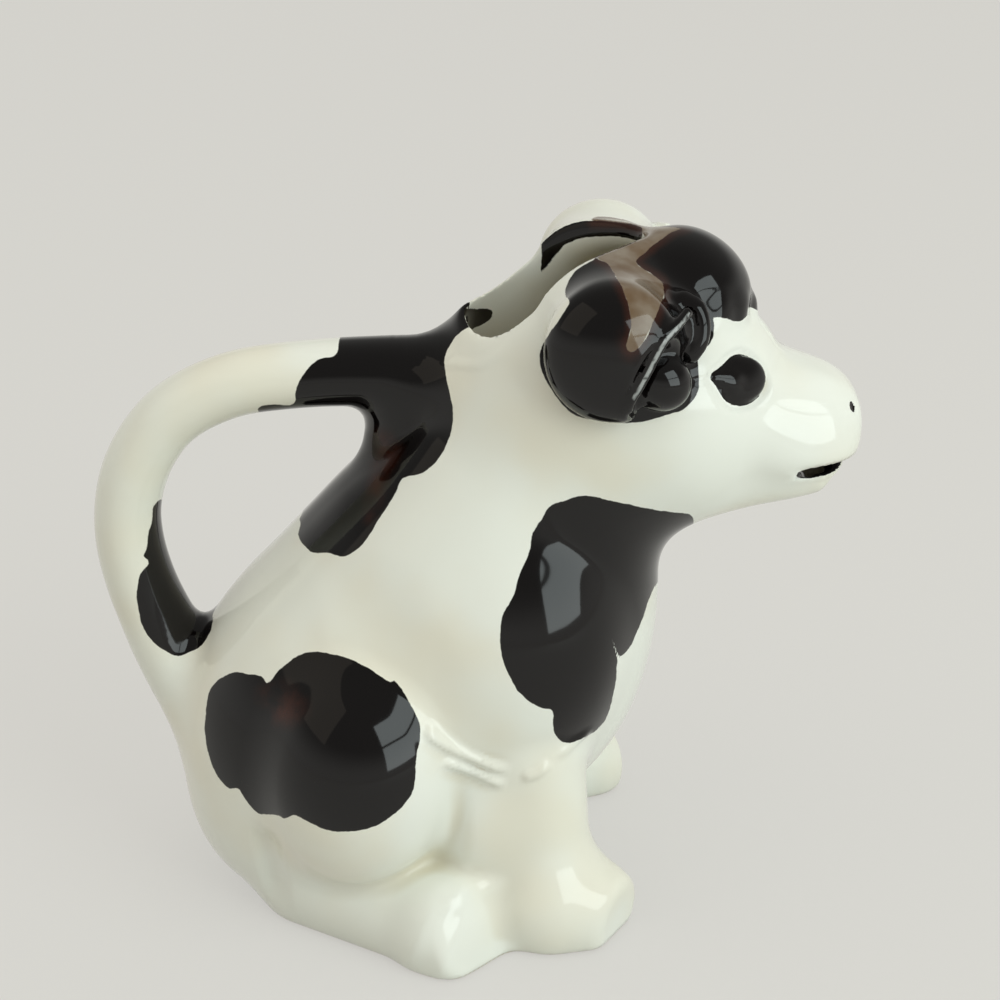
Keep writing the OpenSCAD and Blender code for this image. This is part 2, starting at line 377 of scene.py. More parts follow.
@dataclass(frozen=True)
class Head:
    """The hollow head: skull, cheeks, muzzle, nose and the spout-like jaw."""

    skull: Egg = Egg((20, 0, 88), (22, 20, 21.5), lean=-8)
    cheek: Egg = Egg((26, 6, 80), (17, 13.5, 15.5), lean=-10)
    muzzle: Limb = Limb((30, 0, 82), (47.5, 0, 78.5), 14.5, 9.0)
    brow: Egg = Egg((38.3, 0, 90.0), (7.0, 8.4, 6.6), lean=-20)
    nose: Egg = Egg((49.1, 0, 79.3), (10.3, 12.0, 8.5), lean=-8, square=2.5)
    lip: Egg = Egg((46.6, 3.2, 77.4), (11.2, 9.0, 7.8), lean=-4)
    flank: Facet = Facet((50.0, 11.1, 82.7), (0.37, 0.83, 0.41), rounding=4.0)
    under: Facet = Facet((50, 0, 71.4), (0.12, 0, -1), rounding=2.5)
    jaw: Limb = Limb((27, 0, 72.6), (54.0, 0, 70.6), 11, 2.1)
    jaw_side: Limb = Limb((27, 5, 73.4), (52.0, 6.2, 71.1), 10, 2.2)
    chin: Egg = Egg((47.0, 0, 71.2), (9.4, 9.0, 3.7), lean=7)
    cheek_fillet: float = 8.0
    brow_fillet: float = 3.0
    nose_fillet: float = 4.0
    jaw_fillet: float = 2.5
    chin_fillet: float = 2.0

    def depth(self, q: Array) -> Array:
        """Signed distance to the head's outside, without poll, ears and eyes.

        Args:
            q: the points, with Y counted from the mid plane.

        Returns:
            Signed distances in mm, negative inside.
        """
        d = heap(q, self.skull, (self.cheek, self.cheek_fillet), (self.muzzle, self.cheek_fillet),
                 (self.brow, self.brow_fillet))
        nose = heap(q, self.nose, (self.lip, self.nose_fillet))
        d = melt(d, self.flank.press(q, self.under.press(q, nose)), self.nose_fillet)
        jaw = heap(q, self.jaw, (self.jaw_side, self.chin_fillet), (self.chin, self.chin_fillet))
        return melt(d, jaw, self.jaw_fillet)


@dataclass(frozen=True)
class Foreleg:
    """A foreleg with its shoulder and its foot."""

    shoulder: Egg = Egg((6.5, 15.5, 46), (15.5, 13.8, 21), lean=-6)
    leg: Limb = Limb((8.2, 19.5, 30), (10.0, 21, 9), 9.0, 8.6)
    elbow: Egg = Egg((1.5, 17.5, 20), (10, 11.5, 16))
    foot: Limb = Limb((12.0, 22.2, 4.5), (18.8, 22.8, 3.8), 9.6, 7.6)
    toe: Facet = Facet((21.6, 26.4, 0), (0.85, 0.53, -0.10))
    shoulder_fillet: float = 3.5
    leg_fillet: float = 2.5
    ankle_fillet: float = 6.0

    def depths(self, q: Array) -> tuple[Array, Array]:
        """Signed distances to the shoulder and to the leg with its foot."""
        leg = heap(q, self.leg, (self.foot, self.ankle_fillet), (self.elbow, self.shoulder_fillet))
        return self.shoulder.depth(q), self.toe.press(q, leg)


@dataclass(frozen=True)
class HindLeg:
    """A folded hind leg: the haunch, the shank that lies under it, and the hoof."""

    haunch: Egg = Egg((-17.6, 18.5, 29.0), (16.3, 18.5, 20.6), lean=-8)
    shank: Limb = Limb((-24.5, 14.0, 6.4), (-6, 27.7, 4.5), 11.2, 8.3)
    hoof: Limb = Limb((-3.6, 29.3, 4.6), (0.6, 29.6, 4.0), 9.2, 8.6)
    toe: Facet = Facet((1.6, 33.8, 0), (0.70, 0.71, 0.22))
    fold: float = 2.8
    body_fillet: float = 3.0

    def depths(self, q: Array) -> tuple[Array, Array]:
        """Signed distances to the haunch and to the foot below it."""
        hoof = self.toe.press(q, self.hoof.depth(q))
        return self.haunch.depth(q), melt(self.shank.depth(q), hoof, self.fold)


@dataclass(frozen=True)
class Tail:
    """The tail, which curls back from the nape to the rump and is the jug's handle.

    The path's places are X, Z and the half thickness there. It lies below the box's X and Y and
    above its Z.
    """

    path: tuple[Point, ...] = (
        (-2, 85.6, 7.6), (-8, 85.7, 6.3), (-14, 86.3, 5.4), (-22, 86.2, 5.1), (-30, 85.5, 5.0),
        (-36.5, 84.4, 4.95), (-42.5, 82.0, 4.95), (-47.2, 78.8, 5.0), (-50.8, 74.4, 5.1),
        (-53.3, 69.4, 5.2), (-54.7, 63.8, 5.2), (-54.8, 58, 5.3), (-53.8, 52, 5.4),
        (-52.0, 46, 5.6), (-49.4, 39.5, 6.1), (-45.5, 32.5, 7.0), (-41, 27, 8.0),
    )
    breadth: float = 1.25
    fillet: float = 4.0
    steps: int = 5
    box: Point = (12.0, 18.0, 14.0)
    far: float = 40.0

    def depth(self, q: Array) -> Array:
        """Signed distance to the tail, whose section is wider than it is thick.

        Args:
            q: the points, with Y counted from the mid plane.

        Returns:
            Signed distances in mm, negative inside.
        """
        line = curve(self.path, self.steps)
        depth = np.full(len(q), self.far, np.float32)
        near = np.flatnonzero(
            (q[:, 0] < self.box[0]) & (q[:, 1] < self.box[1]) & (q[:, 2] > self.box[2])
        )
        p = q[near]
        aside, along = to_line(p[:, ::2], line[:, :2])
        thick = np.interp(along, np.arange(len(line)), line[:, 2])
        depth[near] = np.hypot(aside, p[:, 1] / self.breadth) - thick
        return depth


@dataclass(frozen=True)
class Ear:
    """A drooping ear: a thick pad behind, a hollow in front and a curled rim."""

    pad: Egg = Egg((20.2, 23.0, 97.2), (9.9, 4.9, 9.6), turn=3, lean=3, roll=12)
    root: Limb = Limb((28.4, 15.5, 98.6), (22.0, 19.0, 99.5), 4.4, 6.0)
    wing: Egg = Egg((19.4, 16.5, 99.0), (7.8, 10.0, 8.0))
    scoop: Egg = Egg((30.4, 27.2, 94.0), (10.0, 7.0, 7.4), lean=58)
    rim: tuple[Point, ...] = (
        (30.6, 20.4, 102.9), (28.8, 23.9, 102.0), (27.1, 25.3, 100.6), (25.8, 26.1, 98.5),
        (24.7, 26.7, 96.4), (23.6, 27.2, 94.4), (22.5, 27.4, 92.6), (22.2, 26.8, 91.0),
    )
    rim_thick: float = 0.85
    rim_crest: Point = (0.30, 0.92, 0.25)
    lobe: Egg = Egg((27.2, 21.0, 92.6), (4.5, 3.8, 4.2), lean=-30)
    curl: tuple[Point, ...] = (
        (30.6, 15.3, 102.8), (32.3, 16.0, 102.0), (33.1, 16.8, 100.0), (32.8, 17.6, 97.6),
        (31.6, 18.2, 95.8),
    )
    curl_thick: float = 1.35
    fillet: float = 1.4
    crown_fillet: float = 6.0
    crown_low: float = 97.0
    crown_high: float = 103.0
    root_fillet: float = 3.0
    wing_fillet: float = 4.0
    scoop_round: float = 1.0
    roll_fillet: float = 0.7
    middle: Point = (24.0, 20.0, 97.0)
    reach: float = 26.0

    def depth(self, q: Array) -> Array:
        """Signed distance to the ear.

        Args:
            q: the points, with Y counted from the mid plane.

        Returns:
            Signed distances in mm, negative inside.
        """
        d = heap(q, self.pad, (self.root, self.root_fillet), (self.wing, self.wing_fillet))
        d = pare(d, self.scoop.depth(q), self.scoop_round)
        d = melt(d, to_line(q, curve(self.rim, 3))[0] - self.rim_thick, self.roll_fillet)
        d = melt(d, self.lobe.depth(q), self.fillet)
        return melt(d, to_line(q, curve(self.curl, 3))[0] - self.curl_thick, self.roll_fillet)

    def crest(self) -> Array:
        """The line along the outside of the curled rim, where the glaze breaks thin and a highlight
        is painted.
        """
        return curve(np.array(self.rim[:-1]) + np.array(self.rim_crest) * self.rim_thick, 3)

    def softness(self, z: Array) -> Array:
        """How wide the fillet to the head is: wide on the crown, narrow under the ear."""
        share = np.clip((z - self.crown_low) / (self.crown_high - self.crown_low), 0, 1)
        return self.fillet + (self.crown_fillet - self.fillet) * share


@dataclass(frozen=True)
class Eye:
    """A domed, teardrop-shaped eye."""

    ball: Egg = Egg((39.3, 12.7, 89.7), (4.9, 1.7, 3.6), turn=-33, roll=24)
    corner: Limb = Limb((37.6, 14.0, 90.2), (35.4, 15.7, 91.4), 1.5, 0.4)
    fillet: float = 1.4
    socket_from: float = 0.4
    socket_width: float = 0.9
    socket_depth: float = 0.45
    reach: float = 16.0

    def depth(self, q: Array) -> Array:
        """Signed distance to the eye."""
        return heap(q, self.ball, (self.corner, self.fillet))

    def socket(self, depth: Array) -> Array:
        """How deep the groove round the eye is, at a distance from the eye."""
        off = (depth - self.socket_from) / self.socket_width
        return self.socket_depth * np.clip(1 - off ** 2, 0, 1)


@dataclass(frozen=True)
class Poll:
    """The curly tuft over the forehead."""

    tuft: Egg = Egg((33.2, 0, 101.4), (9.4, 10.5, 6.9), lean=-32)
    curls: tuple[Egg, ...] = (
        Egg((36.8, 5.0, 98.0), (3.9, 4.0, 4.4), lean=-50),
        Egg((34.4, 8.4, 98.0), (3.6, 3.2, 4.2), lean=-40),
        Egg((39.3, 0.0, 96.4), (2.9, 3.4, 4.0), lean=-55),
    )
    fillet: float = 1.8
    curl_fillet: float = 1.2

    def depth(self, q: Array) -> Array:
        """Signed distance to the tuft."""
        return heap(q, self.tuft, *((curl, self.curl_fillet) for curl in self.curls))


@dataclass(frozen=True)
class Hollow:
    """The cream's space: the room inside the walls, the fill opening and the pouring slot."""

    wall: float = 3.4
    base: float = 4.0
    mouth_at: float = 12.15
    mouth_length: float = 26.5
    mouth_width: float = 22.6
    mouth_narrows: float = 0.39
    mouth_low: float = 86.0
    slot: Egg = Egg((57.2, 0, 74.0), (9.4, 17.0, 1.15), lean=-1, square=3.0)
    nostril: Egg = Egg((58.6, 5.9, 84.2), (1.1, 1.0, 2.3), lean=-24)
    rim_round: float = 1.6
    slot_reach: float = 20.0
    slot_round: float = 0.6
    nostril_reach: float = 6.0
    nostril_round: float = 0.5
    corner: float = 3.0

    def depth(self, p: Array, shell: Array) -> Array:
        """Signed distance to the cream's space.

        Args:
            p: the points.
            shell: signed distances to the hollow parts' outside.

        Returns:
            Signed distances, negative in the space.
        """
        z = p[:, 2]
        room = -melt(-(shell + self.wall), -(self.base - z), self.corner)
        half_length, half_width = self.mouth_length / 2, self.mouth_width / 2
        along = (p[:, 0] - self.mouth_at) / half_length
        across = p[:, 1] / (half_width * (1 - self.mouth_narrows * np.clip(along, -1, 1)))
        near = np.hypot(along, across)
        steep = np.hypot(along / half_length, across / half_width)
        aside = near * (near - 1) / np.maximum(steep, 1e-6)
        opening = -melt(-aside, -(self.mouth_low - z), self.corner)
        return melt(room, opening, self.corner)


class Piece(Enum):
    """The luted clay pieces, by the name of the CAD node that each one stands for."""

    AIR = ""
    TORSO = "torso_shell"
    HEAD = "head_shell"
    POLL = "poll_tuft"
    TAIL = "tail_handle"
    LEFT_EAR = "left_ear"
    RIGHT_EAR = "right_ear"
    LEFT_EYE = "left_eye"
    RIGHT_EYE = "right_eye"
    LEFT_FORELEG = "left_foreleg"
    RIGHT_FORELEG = "right_foreleg"
    LEFT_HAUNCH = "left_haunch"
    RIGHT_HAUNCH = "right_haunch"
    LEFT_HIND_FOOT = "left_hind_foot"
    RIGHT_HIND_FOOT = "right_hind_foot"


PIECES = list(Piece)
NUMBER = {piece: i for i, piece in enumerate(PIECES)}
MIRROR = np.array([
    NUMBER[Piece[p.name.replace("LEFT", "RIGHT")]] if p.name.startswith("LEFT") else i
    for i, p in enumerate(PIECES)
], np.int8)


@dataclass(frozen=True)
class CowForm:
    """The whole cow as one soft form, and the number of the clay piece at each point of it."""

    trunk: Trunk = field(default_factory=Trunk)
    head: Head = field(default_factory=Head)
    foreleg: Foreleg = field(default_factory=Foreleg)
    hind: HindLeg = field(default_factory=HindLeg)
    tail: Tail = field(default_factory=Tail)
    ear: Ear = field(default_factory=Ear)
    eye: Eye = field(default_factory=Eye)
    poll: Poll = field(default_factory=Poll)
    hollow: Hollow = field(default_factory=Hollow)
    creases: tuple[Crease, ...] = (
        # between the rump and the thigh
        Crease(((-32.6, 22), (-32.3, 18), (-31.8, 13), (-31.4, 8), (-31.2, 1)), 3.0, 1.1, fade=0.3),
        # between the belly and the shoulder
        Crease(((-17, 68), (-15.4, 61), (-13.5, 55), (-11.4, 50), (-8.8, 44.5), (-5.9, 38)),
               10, 0.8, fade=0.5),
        # between the thigh and the foreleg
        Crease(((-5, 37), (-2.9, 30), (-2.4, 22), (-3, 16.5), (-5, 13.6)), 2.6, 0.3, fade=0.4),
        # the luted joint between shoulder and leg, wiped with a finger: a double roll
        Crease(((-7.5, 41.5), (-5.3, 38.6), (-1.7, 35.3), (2.0, 33.2), (5.9, 31.9)),
               1.4, -0.8, fade=0.2),
        Crease(((-4.9, 35.3), (-1.7, 32.7), (1.7, 30.8), (5.2, 29.5)), 1.4, -0.75, fade=0.2),
        Crease(((7.0, 31.0), (9.6, 31.8), (11.8, 33.2)), 1.3, -0.6),
        Crease(((12.6, 33.2), (15.6, 35.2), (18.2, 36.0)), 1.2, -0.4),
        # between the shank and the hoof
        Crease(((-3.0, 13.0), (-4.2, 10.6), (-5.8, 7.2), (-7.7, 2), (-8.6, -2)),
               2.8, 0.5, fade=0.35),
        # the mould's parting line under the fill opening, and from the ear to the eye
        Crease(((-6, 90.6), (-4, 90.9), (1.2, 92.3), (5.8, 96.1)), 1.0, -0.22),
        Crease(((31.6, 91.6), (33.4, 91.5), (35.6, 91.5)), 0.9, 0.2),
        # the brow
        Crease(((42.9, 96.4), (44.6, 93.2), (45.6, 90.8), (45.8, 88.8)),
               1.5, 0.22, between=(1.5, 9.0)),
    )
    throat_fillet: float = 9.0
    skin_depth: float = 1.3
    seam_at: Span = (-4.0, 88.9)
    seam_lean: float = 38.0
    base_round: float = 1.0
    far: float = 40.0

    def survey(self, p: Array) -> dict[str, Array]:
        """Measures every part at once.

        Args:
            p: points in the row frame, in mm.

        Returns:
            Signed distances by part, with "shell" for the hollow parts, "outside" for the solid
            outside of the whole cow, "cream" for the hollow and "clay" for the finished form.
        """
        q = p.copy()
        q[:, 1] = np.abs(q[:, 1])
        s: dict[str, Array] = {}
        torso, head = self.trunk.depth(q), self.head.depth(q)
        s["trunk"] = melt(torso, head, self.throat_fillet)
        s["poll"] = self.poll.depth(q)
        s["shell"] = melt(torso, melt(head, s["poll"], self.poll.fillet), self.throat_fillet)
        shoulder, leg = self.foreleg.depths(q)
        s["foreleg"] = np.minimum(shoulder, leg)
        s["haunch"], s["foot"] = self.hind.depths(q)
        s["tail"] = self.tail.depth(q)
        ear, eye = self.ear, self.eye
        for name, part, at in (("ear", ear, ear.middle), ("eye", eye, eye.ball.at)):
            far = np.full(len(q), self.far, np.float32)
            s[name] = locally(q, far, at, part.reach, lambda a, _, part=part: part.depth(a))
        d = melt(s["shell"], shoulder, self.foreleg.shoulder_fillet)
        d = melt(d, leg, self.foreleg.leg_fillet)
        d = melt(d, melt(s["haunch"], s["foot"], self.hind.fold), self.hind.body_fillet)
        d = melt(d, s["tail"], self.tail.fillet)
        d = melt(d, s["ear"], self.ear.softness(p[:, 2]))
        for crease in self.creases:
            d = crease.work(q, d)
        d = np.minimum(d + self.eye.socket(s["eye"]), s["eye"])
        d = -melt(-d, p[:, 2], self.base_round)
        s["outside"] = d
        s["cream"] = self.hollow.depth(p, s["shell"])
        hollow = self.hollow
        d = pare(d, s["cream"], hollow.rim_round)
        for pit, reach, edge in ((hollow.slot, hollow.slot_reach, hollow.slot_round),
                                 (hollow.nostril, hollow.nostril_reach, hollow.nostril_round)):
            locally(q, d, pit.at, reach,
                    lambda a, e, pit=pit, edge=edge: pare(e, pit.depth(a), edge))
        s["clay"] = d
        return s

    def clay(self, p: Array) -> Array:
        """Signed distance to the finished form, in mm."""
        return self.survey(p)["clay"]

    def number(self, p: Array, s: dict[str, Array]) -> Array:
        """The number of the clay piece at each point, as if all the points were on the cow's left.

        Args:
            p: the points.
            s: what survey says there.

        Returns:
            Piece numbers, 0 for air.
        """
        over_seam = (
            (p[:, 2] - self.seam_at[1]) * math.cos(math.radians(self.seam_lean))
            + (p[:, 0] - self.seam_at[0]) * math.sin(math.radians(self.seam_lean))
        )
        number = np.where(over_seam > 0, NUMBER[Piece.HEAD], NUMBER[Piece.TORSO]).astype(np.int8)
        best = s["trunk"].copy()
        for part, piece in (
            ("foot", Piece.LEFT_HIND_FOOT), ("haunch", Piece.LEFT_HAUNCH),
            ("foreleg", Piece.LEFT_FORELEG), ("tail", Piece.TAIL), ("ear", Piece.LEFT_EAR),
            ("eye", Piece.LEFT_EYE), ("poll", Piece.POLL),
        ):
            take = (s[part] < best) & ((best > 0) | (s["outside"] > -self.skin_depth))
            number[take] = NUMBER[piece]
            best[take] = s[part][take]
        number[s["clay"] >= 0] = 0
        return number


# Meshing

CORNERS = [(i, j, k) for i in (0, 1) for j in (0, 1) for k in (0, 1)]


def corner_views(grid: Array) -> list[Array]:
    """The eight views of a grid that hold the corners of its cells, in the order of CORNERS."""
    return [grid[tuple(slice(o, n - 1 + o) for o, n in zip(corner, grid.shape))]
            for corner in CORNERS]


@dataclass
class Skin:
    """The meshed cow: all its points, and each piece's four-sided faces."""

    points: Array
    normals: Array
    outer: Array
    fold: Array
    survey: dict[str, Array]
    faces: dict[Piece, Array]


@dataclass(frozen=True)
class Mesher:
    """Meshes the form with one point in each cell that two pieces, or a piece and air, share."""

    form: CowForm
    cell: float = 0.62
    low: Point = (-63.0, 0.0, -1.3)
    high: Point = (63.0, 42.0, 112.0)
    block: int = 4
    taps: float = 0.35
    fold_taps: float = 1.4
    busy_blocks: float = 1.3
    least_steep: float = 0.2

    def _axes(self) -> list[Array]:
        """Lays out the grid in whole blocks, with Y from the mid plane.

        Returns:
            The grid's places along X, Y and Z, in mm.
        """
        out = []
        for lo, hi in zip(self.low, self.high):
            blocks = math.ceil((hi - lo) / (self.cell * self.block))
            out.append((lo + self.cell * np.arange(blocks * self.block + 1)).astype(np.float32))
        return out

    def _fill(self) -> tuple[Array, Array, Array]:
        """Measures the form on the whole grid, and finely only near a surface or a joint.

        Returns:
            Signed distances, piece numbers and the grid's low corner.
        """
        axes, n = self._axes(), self.block
        coarse = [a[::n] for a in axes]
        p = np.stack(np.meshgrid(*coarse, indexing="ij"), -1).reshape(-1, 3)
        s = self.form.survey(p)
        shape = tuple(len(a) for a in coarse)
        depth, number = s["clay"].reshape(shape), self.form.number(p, s).reshape(shape)
        nearest = np.min([np.abs(view) for view in corner_views(depth)], 0)
        views = corner_views(number)
        busy = (nearest < self.busy_blocks * n * self.cell) | (np.max(views, 0) != np.min(views, 0))
        for axis in range(3):
            busy = busy.repeat(n, axis)
        mask = np.zeros(tuple(len(a) for a in axes), bool)
        for view in corner_views(mask):
            view |= busy
        where = np.ix_(*(np.arange(m) // n for m in mask.shape))
        values, numbers = depth[where], number[where]
        ijk = np.nonzero(mask)
        p = np.stack([axes[a][ijk[a]] for a in range(3)], -1)
        s = self.form.survey(p)
        values[ijk] = s["clay"]
        numbers[ijk] = self.form.number(p, s)
        values = np.concatenate([values[:, :0:-1], values], 1)
        numbers = np.concatenate([MIRROR[numbers[:, :0:-1]], numbers], 1)
        low = np.array([axes[0][0], -axes[1][-1], axes[2][0]], np.float32)
        return values, numbers, low

    def _cells(self, values: Array, numbers: Array, low: Array) -> tuple[Array, Array, Array]:
        """One point per mixed cell.

        Args:
            values: signed distances on the grid.
            numbers: piece numbers on the grid.
            low: the grid's low corner.

        Returns:
            The cells' point numbers, the points, and which of them are on the outside.
        """
        views = corner_views(numbers)
        mixed = np.max(views, 0) != np.min(views, 0)
        index = np.full(mixed.shape, -1, np.int64)
        cells = np.argwhere(mixed)
        index[mixed] = np.arange(len(cells))
        at = [tuple((cells + np.array(corner)).T) for corner in CORNERS]
        v, m = (np.stack([grid[a] for a in at], 1) for grid in (values, numbers))
        has_air = (m == 0).any(1)
        total, count = np.zeros((len(cells), 3)), np.zeros(len(cells))
        for a, b in combinations(range(len(CORNERS)), 2):
            start, way = np.array(CORNERS[a]), np.subtract(CORNERS[b], CORNERS[a])
            if np.abs(way).sum() == 1:
                skin = (m[:, a] == 0) != (m[:, b] == 0)
                use = skin | ((m[:, a] != m[:, b]) & ~has_air)
                share = np.where(skin, v[:, a] / np.where(skin, v[:, a] - v[:, b], 1.0), 0.5)
                total += (start + way * share[:, None]) * use[:, None]
                count += use
        points = (cells + total / count[:, None]) * self.cell + low
        return index, points.astype(np.float32), has_air

    def _faces(self, numbers: Array, index: Array) -> dict[Piece, Array]:
        """Each piece's faces: one for every grid edge that leaves it.

        Args:
            numbers: piece numbers on the grid.
            index: the cells' point numbers.

        Returns:
            Point numbers, four to a face, by piece.
        """
        found: dict[int, list[Array]] = {}
        shape = numbers.shape
        for axis in range(3):
            other = [a for a in range(3) if a != axis]
            first, second = [slice(None)] * 3, [slice(None)] * 3
            first[axis], second[axis] = slice(0, shape[axis] - 1), slice(1, None)
            a, b = numbers[tuple(first)], numbers[tuple(second)]
            edge = np.argwhere(a != b)
            inside = np.ones(len(edge), bool)
            for o in other:
                inside &= (edge[:, o] > 0) & (edge[:, o] < shape[o] - 1)
            edge = edge[inside]
            here, there = a[tuple(edge.T)], b[tuple(edge.T)]
            u, w = np.zeros(3, int), np.zeros(3, int)
            u[other[0]], w[other[1]] = 1, 1
            quad = np.stack([
                index[tuple((edge - u - w).T)], index[tuple((edge - w).T)],
                index[tuple(edge.T)], index[tuple((edge - u).T)],
            ], 1)
            if axis == 1:
                quad = quad[:, ::-1]
            for mine, faces in ((here, quad), (there, quad[:, ::-1])):
                for number in np.unique(mine):
                    if number:
                        found.setdefault(int(number), []).append(faces[mine == number])
        return {PIECES[k]: np.concatenate(v) for k, v in found.items()}

    def _slope(self, points: Array, step: float) -> tuple[Array, Array]:
        """The form's slope and its roundness at each point, felt at four places around it.

        Args:
            points: the points, in mm.
            step: how far away the places are along each axis, in mm.

        Returns:
            Slopes, and how deep in a fold each point is: over nothing in a fold, under it on a
            ridge.
        """
        reach = np.array([(1, 1, 1), (1, -1, -1), (-1, 1, -1), (-1, -1, 1)], np.float32) * step
        slope = np.zeros_like(points)
        mean = np.zeros(len(points), np.float32)
        for r in reach:
            d = self.form.clay(points + r)
            slope += d[:, None] * r
            mean -= d / len(reach)
        return slope / (4 * step * step), mean

    def skin(self) -> Skin:
        """Meshes the form.

        Returns:
            The meshed cow, moved onto the form and with its slopes as normals.
        """
        values, numbers, low = self._fill()
        index, points, on_skin = self._cells(values, numbers, low)
        faces = self._faces(numbers, index)
        outer = np.flatnonzero(on_skin)
        for _ in range(2):
            slope, _ = self._slope(points[outer], self.taps)
            steep2 = np.maximum((slope * slope).sum(1), self.least_steep)
            off = self.form.clay(points[outer]) / steep2
            points[outer] -= slope * np.clip(off, -self.cell, self.cell)[:, None]
        slope, _ = self._slope(points[outer], self.taps)
        normals = np.zeros_like(points)
        normals[outer] = slope / np.maximum(np.linalg.norm(slope, axis=1), 1e-6)[:, None]
        fold = np.zeros(len(points), np.float32)
        fold[outer] = self._slope(points[outer], self.fold_taps)[1]
        points[outer, 2] = np.maximum(points[outer, 2], 0.0)
        survey = self.form.survey(points)
        return Skin(points, normals, on_skin, fold, survey, faces)


# Camera and studio

@dataclass(frozen=True)
class Stand:
    """The camera's place, in mm, and its pitch below the horizon, in degrees, as photographed."""

    x: float = 4.0
    y: float = -322.6
    z: float = 208.3
    pitch: float = 24.0
    focal_px: float = 2240.0
    frame_px: float = 1000.0
    sensor_mm: float = 36.0

    def to_frame(self, p: Array) -> tuple[Array, Array, Array]:
        """Where points fall in the photograph's frame.

        Args:
            p: points in mm.

        Returns:
            The columns and rows in pixels, and how many pixels a millimetre takes there.
        """
        s, c = math.sin(math.radians(self.pitch)), math.cos(math.radians(self.pitch))
        y, z = p[:, 1] - self.y, p[:, 2] - self.z
        away = y * c - z * s
        down = -y * s - z * c
        scale = self.focal_px / away
        half = self.frame_px / 2
        return half + scale * (p[:, 0] - self.x), half + scale * down, scale

    def build(self) -> bpy.types.Object:
        """Makes the camera and gives it to the scene.

        Returns:
            The camera.
        """
        data = bpy.data.cameras.new("camera")
        data.sensor_width = self.sensor_mm
        data.lens = self.focal_px / self.frame_px * self.sensor_mm
        data.clip_start, data.clip_end = 0.01, 20.0
        camera = bpy.data.objects.new("camera", data)
        camera.location = Vector((self.x, self.y, self.z)) * MM
        camera.rotation_euler = (math.radians(90.0 - self.pitch), 0.0, 0.0)
        bpy.context.scene.collection.objects.link(camera)
        bpy.context.scene.camera = camera
        return camera


@dataclass(frozen=True)
class Softbox:
    """A soft area lamp that faces the jug: its bearing, from the photograph's side towards the
    cow's front, and its height in degrees, and its distance, size and shift in metres.
    """

    name: str
    bearing: float
    height: float
    distance: float
    width: float
    tall: float
    radiance: float
    tint: str = "#FFFFFF"
    shift: Span = (0.0, 0.0)
    aim_height: float = 0.055

    def build(self) -> bpy.types.Object:
        """Hangs the lamp, facing the cow.

        Returns:
            The lamp.
        """
        data = bpy.data.lights.new(self.name, "AREA")
        data.shape = "RECTANGLE"
        data.size, data.size_y = self.width, self.tall
        data.energy = self.radiance * math.pi * self.width * self.tall
        data.color = linear(self.tint)[:3]
        lamp = bpy.data.objects.new(self.name, data)
        az, el = math.radians(self.bearing), math.radians(self.height)
        away = Vector((math.sin(az) * math.cos(el), -math.cos(az) * math.cos(el), math.sin(el)))
        turn = (-away).to_track_quat("-Z", "Y")
        side, up = turn @ Vector((1, 0, 0)), turn @ Vector((0, 1, 0))
        lamp.location = (Vector((0, 0, self.aim_height)) + away * self.distance
                         + side * self.shift[0] + up * self.shift[1])
        lamp.rotation_euler = turn.to_euler()
        bpy.context.scene.collection.objects.link(lamp)
        return lamp


